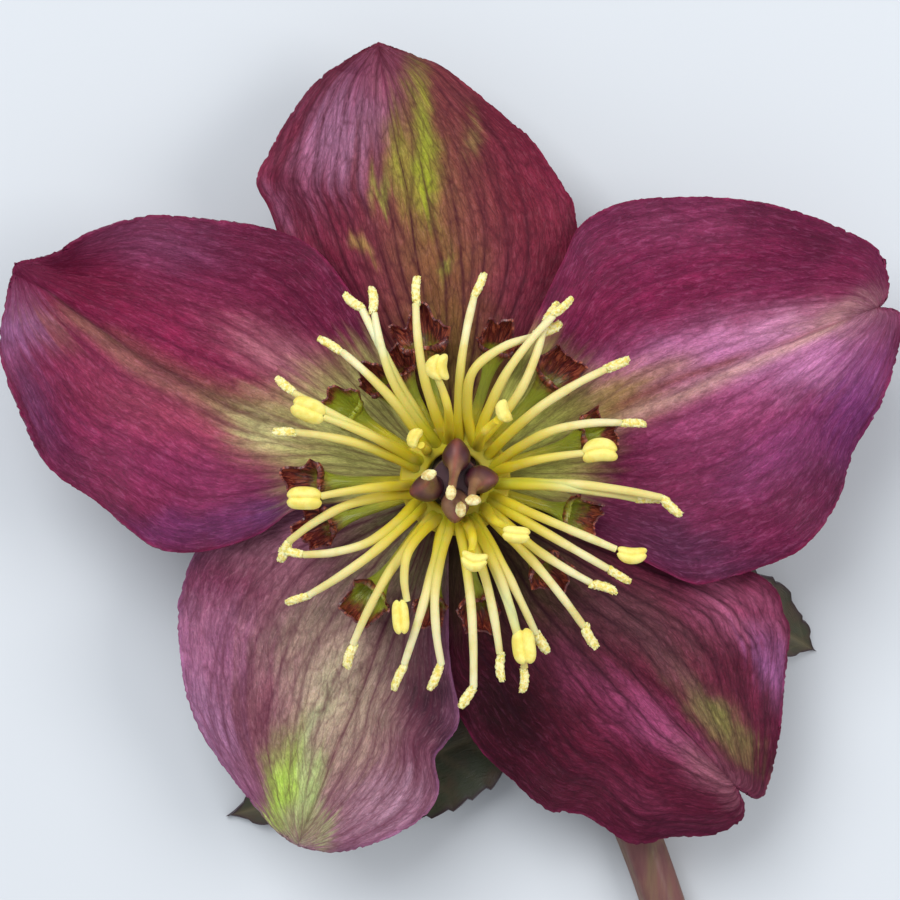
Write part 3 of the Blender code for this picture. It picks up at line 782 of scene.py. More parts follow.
# The station at a share of the way through evenly spaced ones
def stationAt(stations, share):
    last = len(stations) - 1
    index = min(last - 1, int(share * last + 1e-6))
    return stations[index].lerp(stations[index + 1], share * last - index)


# The two directions across a heading: a level one and an upward one
def acrossOf(heading, least):
    side = heading.cross(Vector((0, 0, 1)))
    side = side.normalized() if side.length > least else Vector((1, 0, 0))
    return side, side.cross(heading)


# The straight piece with its Z axis, from 0 to 1, laid along the path's points
def bendAlong(piece, path):
    last = len(path) - 1
    for vertex in piece.data.vertices:
        share = min(1.0, max(0.0, vertex.co.z))
        index = min(last - 1, int(share * last))
        centre = path[index].lerp(path[index + 1], share * last - index)
        before, after = path[max(0, index - 1)], path[min(last, index + 2)]
        side, top = acrossOf((after - before).normalized(), 0.05)
        vertex.co = centre + side * vertex.co.x + top * vertex.co.y


# Stamens

# Spent: azimuth and radius of the tip, bow to the left in millimetres, turn of the anther.
# Fresh and upright: azimuth and radius of the anther's middle, bow, turn, length and width.
# Their rises: lowest and highest top of the arch, fall after it, half of the anther's room.
stamens = {
    "ring": (2.4, 4.6, 14.25, 15.15), "footRadius": 3.3, "footHeight": 14.9,
    "rootRadius": 0.46, "neckRadius": 0.3, "sides": 12, "rings": 30,
    "pathShares": (0.0, 0.22, 0.5, 0.78, 1.0), "pathPoints": 26, "archSpeed": 1.6,
    "spentWidth": (0.68, 0.84), "spentLength": (2.1, 2.7), "spentTop": (18.6, 19.3),
    "spentDroop": (0.9, 2.0), "spentBack": 1.2, "spentHalf": 1.15, "crumble": 0.19,
    "freshRise": ((19.1, 20.0), 0.6, 1.4), "uprightRise": ((19.8, 21.2), -1.0, 0.9),
    "narrow": 1.2, "narrowCrumble": 0.08, "depth": 0.85, "deepest": 1.5,
    "spent": [
        (118.5, 18.3, 0.2, 27), (115.8, 17.6, 1.05, -8), (102.6, 17.2, 0.65, -2),
        (84.1, 17.5, 0.5, -11), (60.3, 17.3, -1.0, -20), (59.2, 18.1, 0.9, -5),
        (60.8, 16.0, 3.1, 5), (36.5, 17.7, 0.7, -4), (19.2, 16.8, 1.25, -1),
        (-5.7, 17.3, 0.35, 11), (-4.7, 19.3, 0.5, -33), (-30.0, 16.8, 0.0, -2),
        (-37.0, 16.3, -0.5, 12), (-48.6, 18.3, 0.4, -8), (-62.2, 16.6, 0.2, 6),
        (-69.6, 18.8, 0.6, -14), (-75.5, 17.0, 0.4, -8), (-84.9, 19.4, 0.4, -32),
        (-94.3, 17.5, -0.95, -33), (-105.5, 18.0, 0.2, -6), (-122.0, 18.2, -0.6, 5),
        (-141.9, 17.6, 0.5, -12), (-153.8, 16.2, 1.4, -15), (-159.9, 16.9, -1.15, 28),
        (163.2, 16.0, -0.6, 4), (151.5, 17.4, 0.0, -12), (131.3, 16.4, -0.5, 8),
    ],
    "fresh": [
        (12.1, 12.1, 0.25, -8, 2.95, 1.95), (-23.1, 15.7, 0.0, 20, 2.5, 1.35),
        (-67.5, 14.7, 0.4, -16, 3.0, 1.95), (-111.8, 12.0, -1.4, 26, 2.9, 1.4),
        (-173.4, 12.4, -0.2, -8, 2.95, 1.9), (154.2, 13.3, -0.3, 4, 2.95, 2.0),
    ],
    "upright": [
        (99.6, 9.3, -0.4, -6, 2.2, 1.8), (133.7, 4.9, 0.0, -70, 1.7, 1.0),
        (55.5, 6.8, 0.3, 52, 1.9, 1.1), (-41.5, 6.6, -0.3, 36, 2.3, 1.4),
        (-77.2, 6.8, 0.4, 68, 2.2, 1.5),
    ],
}


# Points of the filament from the ring out, up over its arch and down to the anther
def stamenPath(azimuth, reach, bow, top, droop, halfLength):
    start, foot = stamens["footRadius"], stamens["footHeight"]
    points = []
    for share in stamens["pathShares"]:
        radius = start + (reach - halfLength - start) * share
        arch = math.sin(min(1.0, share * stamens["archSpeed"]) * math.pi / 2)
        height = foot + (top - foot) * arch - droop * share**4
        aside = polar(azimuth + 90, bow * math.sin(share * math.pi))
        points.append(polar(azimuth, radius, height) + aside)
    return curveThrough(points, stamens["pathPoints"])


def ball(segments, rings):
    deselect()
    bpy.ops.mesh.primitive_uv_sphere_add(segments=segments, ring_count=rings, radius=1.0)
    return bpy.context.active_object


# A burst anther: a blunt club, roughened when it is set in place
def spentAnther():
    piece = ball(26, 30)

    def club(point):
        blunt = (1 - abs(point.z) ** 4) ** 0.5 / max(0.02, (1 - point.z**2) ** 0.5)
        seam = 1 - 0.16 * math.exp(-((point.x / 0.2) ** 2))
        return Vector((point.x * blunt, point.y * blunt * seam, point.z))

    moveVertices(piece, club)
    return piece


# A plump anther: two lobes side by side along its length, which is its Z axis
def freshAnther():
    piece = ball(40, 28)

    def lobes(point):
        blunt = (1 - abs(point.z) ** 3) ** 0.36 / max(0.02, (1 - point.z**2) ** 0.5)
        x = point.x * min(blunt, 3.0)
        groove = math.exp(-((x / 0.17) ** 2))
        y = point.y * min(blunt, 3.0) * (1 - 0.34 * groove)
        z = point.z * (1 - 0.13 * groove * abs(point.z) ** 3)
        return Vector((x, y, z))

    moveVertices(piece, lobes)
    return piece


def setAnther(model, middle, heading, length, width, depth, roll, chance, crumble=0.0):
    twin = copyOf(model, "anther")
    side, top = acrossOf(heading, 0.1)
    side, top = (side * math.cos(roll) + top * math.sin(roll),
                 top * math.cos(roll) - side * math.sin(roll))
    seed = Vector((chance.uniform(0, 50), chance.uniform(0, 50), chance.uniform(0, 50)))
    bend = chance.uniform(-0.3, 0.3)

    def settle(point):
        spot = point.copy()
        if crumble:
            long = Vector((point.x, point.y, point.z * length / width))
            rough = noise.noise(seed + long * 2.4) + 1.2 * noise.noise(seed + long * 7.5)
            spot *= 1 + crumble * rough
            spot.z = max(-1.0, min(1.0, spot.z))
        sway = bend * width * spot.z**2
        return (middle + side * (spot.x * width / 2 + sway) + top * spot.y * depth / 2
                + heading * spot.z * length / 2)

    moveVertices(twin, settle)
    return twin


# A heading turned about the upright axis and laid flatter
def turned(heading, degrees, flatten):
    angle = math.radians(degrees)
    x = heading.x * math.cos(angle) - heading.y * math.sin(angle)
    y = heading.x * math.sin(angle) + heading.y * math.cos(angle)
    return Vector((x, y, heading.z * flatten)).normalized()


def makeStamens(threadMaterial, spentMaterial, freshMaterial):
    chance = random.Random(7)
    loose = random.Random(21)
    span = stamens["rootRadius"] - stamens["neckRadius"]
    model = straightTube("thread", stamens["sides"], stamens["rings"],
                         lambda share: stamens["rootRadius"] - span * share**1.2)
    burst, plump = spentAnther(), freshAnther()
    threads, spent, fresh = [], [], []

    def grow(azimuth, reach, bow, top, droop, half):
        path = stamenPath(azimuth, reach, bow, top, droop, half)
        thread = copyOf(model, "thread")
        seed = Vector((azimuth, reach, 0))
        for vertex in thread.data.vertices:
            uneven = 1 + 0.14 * noise.noise(seed + Vector((0, 0, vertex.co.z * 7)))
            vertex.co.x *= uneven
            vertex.co.y *= uneven * stamens["depth"]
        bendAlong(thread, path)
        threads.append(thread)
        return path[-1], (path[-1] - path[-3]).normalized()

    for azimuth, tip, bow, turn in stamens["spent"]:
        top = chance.uniform(*stamens["spentTop"])
        droop = chance.uniform(*stamens["spentDroop"])
        end, heading = grow(azimuth, tip - stamens["spentBack"], bow, top, droop,
                            stamens["spentHalf"])
        length = loose.uniform(*stamens["spentLength"])
        width = loose.uniform(*stamens["spentWidth"])
        heading = turned(heading, turn, 0.7)
        middle = end + heading * length * 0.44
        spent.append(setAnther(burst, middle, heading, length, width, width * stamens["depth"],
                               loose.uniform(-0.8, 0.8), loose, stamens["crumble"]))
    for kind in ("fresh", "upright"):
        tops, droop, half = stamens[kind + "Rise"]
        for azimuth, reach, bow, turn, length, width in stamens[kind]:
            end, _ = grow(azimuth, reach, bow, chance.uniform(*tops), droop, half)
            heading = turned(polar(azimuth, 1.0, 0.15), turn, 1.0)
            middle = polar(azimuth, reach, end.z + 0.12)
            narrow = width < stamens["narrow"]
            depth = min(stamens["deepest"], width * stamens["depth"])
            fresh.append(setAnther(burst if narrow else plump, middle, heading, length, width,
                                   depth, loose.uniform(-0.2, 0.2), loose,
                                   stamens["narrowCrumble"] if narrow else 0.0))
    for helper in (model, burst, plump):
        bpy.data.objects.remove(helper)
    threads.append(collar(stamens["ring"]))
    for pieces, name, material in ((threads, "filaments", threadMaterial),
                                   (spent, "spentAnthers", spentMaterial),
                                   (fresh, "freshAnthers", freshMaterial)):
        finish(joinAll(pieces, name), material, "stamens")


# The ring of tissue at the foot of the threads, with a soft upper edge
def collar(sizes):
    inner, outer, low, high = sizes
    deselect()
    bpy.ops.mesh.primitive_cylinder_add(vertices=64, radius=outer, depth=high - low,
                                        location=(0, 0, (low + high) / 2),
                                        end_fill_type="NOTHING")
    piece = bpy.context.active_object
    applyPlace()
    applyModifier(piece, "SOLIDIFY", thickness=outer - inner, offset=-1.0, use_rim=True)
    applyModifier(piece, "BEVEL", width=0.25, segments=3, limit_method="ANGLE")
    return piece


# The distance from the bloom's axis, for colours that change outwards
def fromAxis(tree, coords):
    flat = feed(tree, addNode(tree, "ShaderNodeMapping"), Vector=coords,
                Location=-bloomAxis * mm, Scale=(1.0, 1.0, 0.0))
    length = addNode(tree, "ShaderNodeVectorMath", operation="LENGTH")
    tree.links.new(flat.outputs[0], length.inputs[0])
    return length.outputs["Value"]


def threadFinish():
    material, tree, shader = newMaterial("filament_finish", Subsurface_Weight=0.3,
                                         Subsurface_Scale=0.0009, Specular_IOR_Level=0.3)
    coords = objectCoords(tree)
    mottle = mottled(tree, coords, 700.0, 3.0)
    patch = mottled(tree, coords, 110.0, 1.0)
    pale = overlaid(tree, ink(216, 203, 128), ink(228, 220, 172), patch, 0.4, 0.6)
    body = overlaid(tree, ink(206, 188, 40), pale, fromAxis(tree, coords), 0.0045, 0.0135)
    body = overlaid(tree, body, ink(206, 188, 96), mottle, 0.45, 0.7, 0.0, 0.45)
    connect(tree, shader, body, mottle, 0.42, 0.56)
    bump(tree, shader, mottle, 0.25, 0.00006)
    return material


def powderFinish(name, light, dark, roughness, grain, depth):
    material, tree, shader = newMaterial(name, Subsurface_Weight=0.2,
                                         Subsurface_Scale=0.0007, Specular_IOR_Level=0.2)
    mottle = mottled(tree, objectCoords(tree), grain, 6.0)
    body = overlaid(tree, dark, light, mottle, 0.38, 0.6)
    connect(tree, shader, body, mottle, roughness, roughness + 0.15)
    bump(tree, shader, mottle, depth, 0.0001)
    return material


makeStamens(threadFinish(),
            powderFinish("spent_anther_finish", ink(244, 235, 176), ink(226, 206, 104),
                         0.75, 3400.0, 0.8),
            powderFinish("fresh_anther_finish", ink(238, 225, 128), ink(228, 210, 100),
                         0.5, 900.0, 0.15))
print("stamens done")


# Nectaries

# Mouths: azimuth, radius and width of the mouth, how far the maroon runs down it
nectaries = {
    "ring": (2.4, 4.4, 12.95, 13.9), "foot": (3.4, 13.5), "mouthHeight": 16.2,
    "sides": 56, "rings": 26, "wall": 0.18, "tear": 1.3, "outerLip": 0.9, "foldIn": 0.4,
    "bend": (-1.7, 13.95), "mouthBack": 0.6, "mouthSway": (-0.4, 0.3), "footSize": 0.5,
    "flare": (0.35, 1.0), "lip": (0.74, 1.0), "depth": 0.82, "furthest": 0.9, "highest": 17.7,
    "mouths": [(103, 13.2, 4.5, 0.12), (115.5, 11.6, 2.6, 0.1), (127.5, 11.4, 3.2, 0.1),
               (147, 11.9, 3.6, -0.14), (181, 13.2, 3.8, 0.06), (199, 12.9, 3.6, 0.1),
               (233.5, 13.2, 4.0, -0.08), (259, 11.9, 3.2, 0.0), (280, 12.0, 3.6, 0.06),
               (316, 11.8, 3.6, 0.1), (344, 11.6, 3.6, -0.04), (17.5, 13.2, 4.0, 0.0),
               (46.5, 13.2, 4.2, 0.06), (73, 13.0, 3.4, 0.08)],
}


def makeNectaries(material):
    chance = random.Random(11)
    build = nectaries
    model = straightTube("trumpet", build["sides"], build["rings"], ends="NOTHING")
    pieces = []
    for azimuth, mouth, width, stain in build["mouths"]:
        piece = copyOf(model, "trumpet")
        weigh(piece, "along", [vertex.co.z + stain for vertex in piece.data.vertices])
        foot = Vector(build["foot"])
        middle = Vector((mouth + build["bend"][0], build["bend"][1]))
        mouthHeight = build["mouthHeight"] + chance.uniform(*build["mouthSway"])
        end = Vector((mouth - build["mouthBack"], mouthHeight))
        seed = Vector((azimuth * 0.37, mouth, width))
        teeth = 4 + int(seed.x * 7) % 2
        half = width / 2

        def trumpet(point):
            share = point.z
            around = math.atan2(point.y, point.x)
            torn = noise.noise(seed + point * 2.6)
            spike = (1 - abs(math.sin(around * teeth / 2 + seed.x + torn * 0.4))) ** 1.3
            flare = smoothstep(*build["flare"], share)
            lip = smoothstep(*build["lip"], share)
            size = build["footSize"] + (half - build["footSize"]) * flare
            crease = 1 + 0.1 * math.sin(around * 3 + seed.y) * flare + 0.12 * torn * flare
            crease *= 0.88 + 0.26 * spike * flare
            fold = build["foldIn"] * max(0.0, point.y) ** 5 * flare
            x = point.x * size * crease
            y = (point.y - fold) * size * build["depth"] * crease
            out = build["tear"] * (spike - 0.5) + 0.7 * torn - build["outerLip"] * point.y
            beyond = lip * min(out, build["furthest"])
            share = min(share, 1.0)
            centre = foot.lerp(middle, share).lerp(middle.lerp(end, share), share)
            heading = (middle.lerp(end, share) - foot.lerp(middle, share)).normalized()
            radial = centre.x + heading.x * beyond - heading.y * y
            height = centre.y + heading.y * beyond + heading.x * y
            height = min(height, build["highest"])
            return polar(azimuth, radial, height) + polar(azimuth + 90, x)

        moveVertices(piece, trumpet)
        outside = len(piece.data.vertices)
        applyModifier(piece, "SOLIDIFY", thickness=build["wall"], offset=-1.0, use_rim=True)
        inside = len(piece.data.vertices) - outside
        weigh(piece, "inside", [0.0] * outside + [1.0] * inside)
        pieces.append(piece)
    bpy.data.objects.remove(model)
    pieces.append(collar(build["ring"]))
    finish(joinAll(pieces, "nectaryTrumpets"), material, "nectaries")


# Yellow feet, green throats and torn maroon rims, with painted shade in their folds and
# rust-coloured painted highlights on the fold ridges
def nectaryFinish():
    material, tree, shader = newMaterial("nectary_finish", Coat_Weight=0.45,
                                         Coat_Roughness=0.2, Subsurface_Weight=0.1,
                                         Subsurface_Scale=0.0006)
    coords = objectCoords(tree)
    mottle = mottled(tree, coords, 520.0, 5.0)
    tubeUv = addNode(tree, "ShaderNodeUVMap", uv_map="UVMap").outputs[0]
    folds = place(tree, bladeFibres, Vector=tubeUv, Along=34.0, Across=7.0)
    along = attribute(tree, "along")
    drift = maths(tree, "MULTIPLY", maths(tree, "SUBTRACT", mottle, 0.5), 0.55)
    deeper = maths(tree, "MULTIPLY", attribute(tree, "inside"), -0.05)
    spot = maths(tree, "ADD", maths(tree, "ADD", along, drift), deeper)
    body = overlaid(tree, ink(214, 200, 36), ink(150, 158, 36), spot, 0.1, 0.5)
    body = overlaid(tree, body, ink(104, 36, 30), spot, 0.62, 0.82)
    body = overlaid(tree, body, ink(86, 18, 28), spot, 0.8, 1.0, 0.0, 0.85)
    rim = ramp(tree, spot, 0.62, 0.84)
    # painted shade down the folds and painted highlights on the fold ridges, within the maroon
    # rim
    for foldLightSteps, colour in (((0.36, 0.5, 0.75, 0.0), ink(48, 12, 22)),
                          ((0.5, 0.64, 0.0, 0.8), ink(172, 88, 62))):
        streak = maths(tree, "MULTIPLY", ramp(tree, folds.outputs["Height"], *foldLightSteps), rim)
        body = blend(tree, streak, body, colour)
    connect(tree, shader, body, mottle, 0.26, 0.45)
    bump(tree, shader, folds.outputs["Height"], 0.6, 0.0004)
    return material


makeNectaries(nectaryFinish())
print("nectaries done")


# Carpels

# Pods: x and y of the body's middle, x and y of the stigma, share of a full style.
# Stations up a pod: share of the body's offset, lean to the stigma, height and radius.
carpels = {
    "foot": 15.4, "discRadius": 1.9, "sides": 32, "rings": 48, "styleFoot": 19.0,
    "keel": 0.3, "pinch": 0.04, "stigmaSize": (0.62, 0.42, 0.3), "stigmaDrop": 0.1,
    "pods": [(0.1, 1.9, -0.35, -0.95, 1.0), (2.0, 0.1, 1.45, -1.55, 1.0),
             (-2.2, -0.6, -2.1, 0.5, 1.0), (0.0, -1.9, 0.45, -2.35, 0.3)],
    "stations": [(0.62, 0.0, 15.5, 0.7), (0.88, 0.0, 16.3, 1.06), (1.0, 0.0, 17.4, 1.22),
                 (1.0, 0.04, 18.4, 1.12), (0.9, 0.18, 19.2, 0.64), (0.75, 0.4, 20.1, 0.4),
                 (0.62, 0.62, 21.1, 0.35), (0.5, 0.9, 22.3, 0.34), (0.45, 1.0, 22.8, 0.3)],
}


def makeCarpels(podMaterial, stigmaMaterial):
    pods, stigmas = [], []
    build = carpels
    long, wide, tall = build["stigmaSize"]
    model = straightTube("pod", build["sides"], build["rings"])
    for x, y, stigmaX, stigmaY, style in build["pods"]:
        body, stigma = Vector((x, y, 0)), Vector((stigmaX, stigmaY, 0))
        stations = []
        for out, lean, height, radius in build["stations"]:
            spot = (body * out).lerp(stigma, lean)
            above = max(0.0, height - build["styleFoot"])
            height = min(height, build["styleFoot"]) + above * style
            stations.append(Vector((spot.x, spot.y, height, radius)))
        fine = curveThrough(stations, build["rings"] + 1)
        outward = body.normalized()
        aside = Vector((-outward.y, outward.x, 0))
        pod = copyOf(model, "pod")
        weigh(pod, "along", [vertex.co.z for vertex in pod.data.vertices])
        ridges = [max(0.0, vertex.co.dot(outward)) ** 14 for vertex in pod.data.vertices]
        weigh(pod, "ridge", ridges)

        def shape(point):
            station = stationAt(fine, point.z)
            turn = Vector((point.x, point.y, 0))
            swollen = smoothstep(0.45, 1.0, station.w)
            out, side = turn.dot(outward), turn.dot(aside)
            out += build["keel"] * max(0.0, out) ** 5 * swollen
            side *= 1 - build["pinch"] * swollen
            return station.xyz + (outward * out + aside * side) * station.w

        moveVertices(pod, shape)
        pods.append(pod)
        top = stations[-1]
        tip = ball(24, 18)
        seed = Vector((x * 7, y * 5, 3))
        for vertex in tip.data.vertices:
            rough = 1 + 0.22 * noise.noise(seed + vertex.co * 2.4)
            spot = outward * vertex.co.x * long + aside * vertex.co.y * wide
            rise = Vector((0, 0, vertex.co.z * tall - build["stigmaDrop"]))
            vertex.co = spot * rough + top.xyz + rise
        stigmas.append(tip)
    bpy.data.objects.remove(model)
    deselect()
    bpy.ops.mesh.primitive_cylinder_add(vertices=32, radius=build["discRadius"], depth=1.0,
                                        location=(0, 0, build["foot"] + 0.5))
    disc = bpy.context.active_object
    applyPlace()
    pods.append(disc)
    for pieces, name, material in ((pods, "carpelPods", podMaterial),
                                   (stigmas, "stigmas", stigmaMaterial)):
        finish(joinAll(pieces, name), material, "carpels")


def podFinish():
    material, tree, shader = newMaterial("pod_finish", Coat_Weight=0.2, Coat_Roughness=0.3)
    mottle = mottled(tree, objectCoords(tree), 900.0, 5.0)
    body = overlaid(tree, ink(68, 25, 37), ink(138, 98, 74), attribute(tree, "along"), 0.42, 0.6)
    ridge = maths(tree, "MULTIPLY", attribute(tree, "ridge"), 0.7)
    body = blend(tree, ridge, body, ink(138, 72, 60))
    body = overlaid(tree, body, ink(60, 22, 34), mottle, 0.4, 0.7, 0.0, 0.45)
    connect(tree, shader, body, mottle, 0.35, 0.5)
    bump(tree, shader, mottle, 0.35, 0.0001)
    return material


makeCarpels(podFinish(), powderFinish("stigma_finish", ink(240, 228, 172), ink(206, 180, 110),
                                      0.6, 1800.0, 0.4))
print("carpels done")


# Stem and receptacle

# Path: x, y, height, share of the radius. Receptacle: radius and height from the top down.
stem = {
    "radius": 2.0, "sides": 40, "rings": 240, "ribs": 7, "ribDepth": 0.05, "rough": 0.04,
    "cupSides": 56, "cupRings": 44, "cutDepth": 0.00016, "cutBlend": 0.00006,
    "path": [(0.0, 0.0, 9.4, 0.95), (0.05, -0.1, 7.6, 0.84), (0.45, -0.8, 5.4, 0.84),
             (1.4, -2.5, 3.3, 0.9), (2.7, -4.7, 2.1, 0.95), (4.0, -7.0, 1.72, 1.0),
             (5.5, -9.7, 1.74, 1.0), (7.7, -13.8, 1.95, 1.0), (10.2, -18.6, 2.18, 1.12),
             (12.6, -23.5, 1.97, 1.0), (15.0, -28.6, 1.95, 1.0), (17.3, -34.5, 1.94, 0.99),
             (19.6, -42.0, 1.92, 0.98), (21.6, -50.0, 1.91, 0.98), (23.3, -58.5, 1.89, 0.97),
             (24.6, -67.0, 1.87, 0.97), (25.6, -76.0, 1.79, 0.96), (26.2, -85.0, 1.77, 0.96)],
    "receptacle": [(1.7, 15.0), (1.95, 14.95), (2.0, 14.7), (2.0, 13.0), (2.0, 11.5),
                   (3.2, 11.2), (3.62, 10.9), (3.6, 10.3), (3.0, 9.5), (2.2, 8.9), (1.4, 8.3)],
}


def makeStem(material):
    fine = curveThrough([Vector(p) for p in stem["path"]], stem["rings"] + 1)
    path = [station.xyz for station in fine]
    tube = straightTube("stemTube", stem["sides"], stem["rings"])

    def ribbed(point):
        radius = stem["radius"] * stationAt(fine, point.z).w
        around = math.atan2(point.y, point.x)
        rough = noise.noise(Vector((math.cos(around) * 2, math.sin(around) * 2, point.z * 30)))
        rib = stem["ribDepth"] * (math.cos(around * stem["ribs"]) - 1)
        size = radius + rib + stem["rough"] * (rough - 1)
        return Vector((point.x * size, point.y * size, point.z))

    moveVertices(tube, ribbed)
    bendAlong(tube, path)
    for vertex in tube.data.vertices:
        vertex.co.z = max(0.0, vertex.co.z)  # the bloom lies on the ground
    profile = curveThrough([Vector((r, 0, z)) for r, z in reversed(stem["receptacle"])],
                           stem["cupRings"] + 1)
    cup = straightTube("receptacle", stem["cupSides"], stem["cupRings"])

    def turnedCup(point):
        spot = profile[round(point.z * stem["cupRings"])]
        return Vector((point.x * spot.x, point.y * spot.x, spot.z))

    moveVertices(cup, turnedCup)
    finish(joinAll([tube, cup], "stemTube"), material, "stem")


def stemFinish():
    material, tree, shader = newMaterial("stem_finish", Subsurface_Weight=0.05,
                                         Subsurface_Scale=0.001, Specular_IOR_Level=0.4)
    coords = objectCoords(tree)
    turn = feed(tree, addNode(tree, "ShaderNodeMapping"), Vector=coords,
                Scale=(1.0, 0.12, 1.0), Rotation=(0.0, 0.0, math.radians(-20)))
    lengthwise = turn.outputs[0]
    streak = mottled(tree, lengthwise, 1500.0, 4.0)
    mottle = mottled(tree, lengthwise, 420.0, 3.0)
    body = overlaid(tree, ink(112, 70, 66), ink(112, 100, 62), mottle, 0.36, 0.68, 0.0, 0.8)
    body = overlaid(tree, body, ink(88, 46, 54), streak, 0.42, 0.7, 0.0, 0.5)
    last, end = (Vector(p[:3]) for p in stem["path"][-2:])
    heading = (end - last).normalized()
    reach = addNode(tree, "ShaderNodeVectorMath", operation="DOT_PRODUCT")
    tree.links.new(coords, reach.inputs[0])
    reach.inputs[1].default_value = heading
    begin = (end + bloomAxis).dot(heading) * mm - stem["cutDepth"]
    body = overlaid(tree, body, ink(166, 164, 112), reach.outputs["Value"],
                    begin, begin + stem["cutBlend"], 0.0, 0.85)  # the cut face at its end
    connect(tree, shader, body, streak, 0.4, 0.58)
    bump(tree, shader, streak, 0.4, 0.0001)
    return material


makeStem(stemFinish())
print("stem done")


# Bracts

bractBuild = {
    "rows": 96, "columns": 28, "tooth": 0.42, "teeth": 16, "thickness": 0.5, "fold": 0.09,
    "veinStep": 0.085, "veinWidth": 0.12, "sideVeins": 0.7, "midribWidth": 0.3,
    "veinDepth": 0.1, "uneven": 0.06, "rimWidth": 0.25, "lowest": 0.03,
}
bracts = {
    "bract_right": {
        "midrib": [(12.9, -17.9, 2.2), (17.0, -15.2, 3.4), (22.5, -12.9, 3.3),
                   (27.5, -13.0, 1.9), (31.3, -14.9, 0.36)],
        "halfWidths": [0.9, 2.2, 3.4, 4.4, 5.1, 5.3, 4.3, 1.9, 0.0],
    },
    "bract_left": {
        "midrib": [(7.6, -19.5, 2.2), (1.5, -22.2, 3.5), (-6.0, -25.3, 3.2),
                   (-13.5, -27.4, 1.7), (-19.8, -29.2, 0.36)],
        "halfWidths": [0.9, 3.2, 4.6, 5.0, 4.6, 3.9, 3.0, 1.8, 0.0],
    },
}


def makeBract(name, bract, material):
    build = bractBuild
    piece = bladeGrid(name, build["rows"], build["columns"])
    midrib = curveThrough([Vector(p) for p in bract["midrib"]], build["rows"] + 1)
    widths = bract["halfWidths"]
    steps = len(widths) - 1
    veins, rims = [], []
    for vertex in piece.data.vertices:
        along, across = (vertex.co.x + 1) / 2, vertex.co.y
        row = round(along * build["rows"])
        heading = midrib[min(row + 1, build["rows"])] - midrib[max(row - 1, 0)]
        sideways = Vector((-heading.y, heading.x, 0)).normalized()
        index = min(int(along * steps), steps - 1)
        part = smoothstep(0, 1, along * steps - index)
        half = widths[index] + (widths[index + 1] - widths[index]) * part
        saw = (along * build["teeth"]) % 1.0
        tooth = build["tooth"] * (saw - 0.5) * min(1.0, half / 2)
        reach = half + tooth * smoothstep(0.6, 1.0, abs(across))
        point = midrib[row] + sideways * across * reach
        side = (along + 0.1 * abs(across)) / build["veinStep"] % 1.0
        ribs = math.exp(-(min(side, 1 - side) / build["veinWidth"]) ** 2)
        ribs *= (1 - abs(across)) * build["sideVeins"]
        main = math.exp(-((across * half / build["midribWidth"]) ** 2))
        vein = max(main, ribs)
        point.z += build["fold"] * half * across * across - build["veinDepth"] * vein
        point.z += build["uneven"] * noise.noise(point * 0.8)
        vertex.co = point
        veins.append(vein)
        rims.append(math.exp(-(1 - abs(across)) * half / build["rimWidth"]))
    weigh(piece, "vein", veins)
    weigh(piece, "rim", rims)
    applyModifier(piece, "WELD", merge_threshold=weldReach)
    applyModifier(piece, "SOLIDIFY", thickness=build["thickness"], offset=0.0, use_rim=True)
    for vertex in piece.data.vertices:
        vertex.co.z = max(build["lowest"], vertex.co.z)
    finish(piece, material, name, angle=40)


def bractFinish():
    material, tree, shader = newMaterial("bract_finish", Specular_IOR_Level=0.4,
                                         Sheen_Weight=0.05)
    uv = bladeUv(tree)
    fibres = place(tree, bladeFibres, Vector=uv, Along=40.0, Across=60.0, Contrast=0.6)
    mottle = mottled(tree, objectCoords(tree), 350.0, 5.0)
    body = overlaid(tree, ink(52, 58, 34), ink(72, 58, 40), mottle, 0.4, 0.65)
    body = blend(tree, attribute(tree, "vein"), body, ink(92, 84, 58))
    body = blend(tree, attribute(tree, "rim"), body, ink(46, 20, 34))
    body = shaded(tree, body, fibres.outputs["Shade"])
    connect(tree, shader, body, fibres.outputs["Height"], 0.38, 0.55)
    bump(tree, shader, fibres.outputs["Height"], 0.4, 0.00012)
    return material


bractLook = bractFinish()
for bractName, bract in bracts.items():
    makeBract(bractName, bract, bractLook)
print("bracts done")


# Floor, light and camera

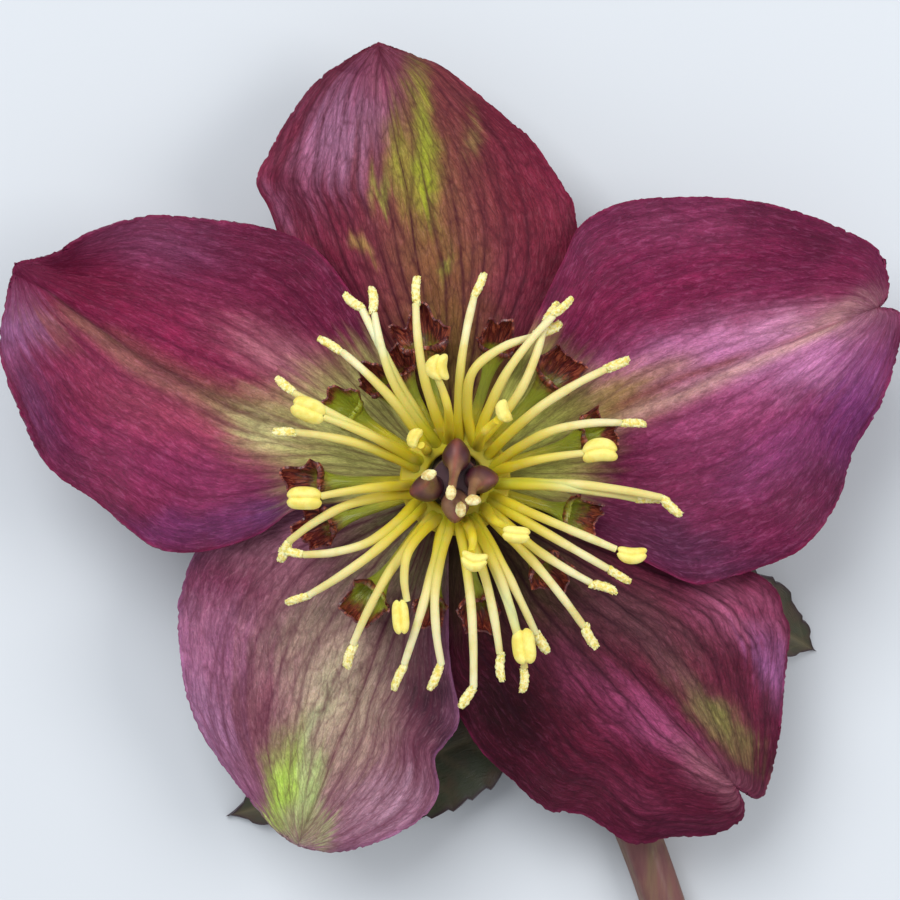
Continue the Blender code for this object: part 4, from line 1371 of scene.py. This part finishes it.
# The view is in millimetres. Lights: name, place in metres, size, watts, colour.
studio = {
    "floorSize": 1.2, "floorColour": ink(204, 209, 214), "worldColour": ink(228, 231, 236),
    "worldStrength": 0.72, "viewWidth": 75.0, "viewDistance": 320.0,
    "viewCentre": (-0.42, 2.5, 13.0), "sensor": 36.0, "clip": (0.01, 10.0),
    "lightsAim": (0, 0, 0.01),
    "lights": [("sky", (-0.35, 0.5, 0.9), 0.7, 8.5, (0.985, 0.99, 1.0)),
               ("fill", (0.4, 0.05, 0.45), 0.3, 1.2, (1.0, 0.97, 0.95))],
}


def makeFloor():
    deselect()
    bpy.ops.mesh.primitive_plane_add(size=studio["floorSize"])
    floor = bpy.context.active_object
    floor.name = "floor"
    material, _, _ = newMaterial("floor_finish", Base_Color=(*studio["floorColour"], 1.0),
                                 Roughness=0.8, Specular_IOR_Level=0.2)
    floor.data.materials.append(material)


def makeLight(name, spot, size, power, colour):
    lamp = bpy.data.lights.new(name, "AREA")
    lamp.size = size
    lamp.energy = power
    lamp.color = colour
    holder = bpy.data.objects.new(name, lamp)
    holder.location = spot
    aim = Vector(studio["lightsAim"]) - Vector(spot)
    holder.rotation_euler = aim.to_track_quat("-Z", "Y").to_euler()
    bpy.context.scene.collection.objects.link(holder)


def makeCamera():
    camera = bpy.data.cameras.new("camera")
    camera.sensor_width = studio["sensor"]
    camera.lens = studio["sensor"] * studio["viewDistance"] / studio["viewWidth"]
    camera.clip_start, camera.clip_end = studio["clip"]
    holder = bpy.data.objects.new("camera", camera)
    spot = Vector(studio["viewCentre"]) + bloomAxis
    holder.location = (spot + Vector((0, 0, studio["viewDistance"]))) * mm
    bpy.context.scene.collection.objects.link(holder)
    bpy.context.scene.camera = holder


def makeWorld():
    world = bpy.data.worlds.new("studio")
    world.use_nodes = True
    background = world.node_tree.nodes["Background"]
    background.inputs["Color"].default_value = (*studio["worldColour"], 1.0)
    background.inputs["Strength"].default_value = studio["worldStrength"]
    bpy.context.scene.world = world


makeFloor()
makeWorld()
for light in studio["lights"]:
    makeLight(*light)
makeCamera()
bpy.context.scene.view_settings.view_transform = "Standard"
print("stage done")
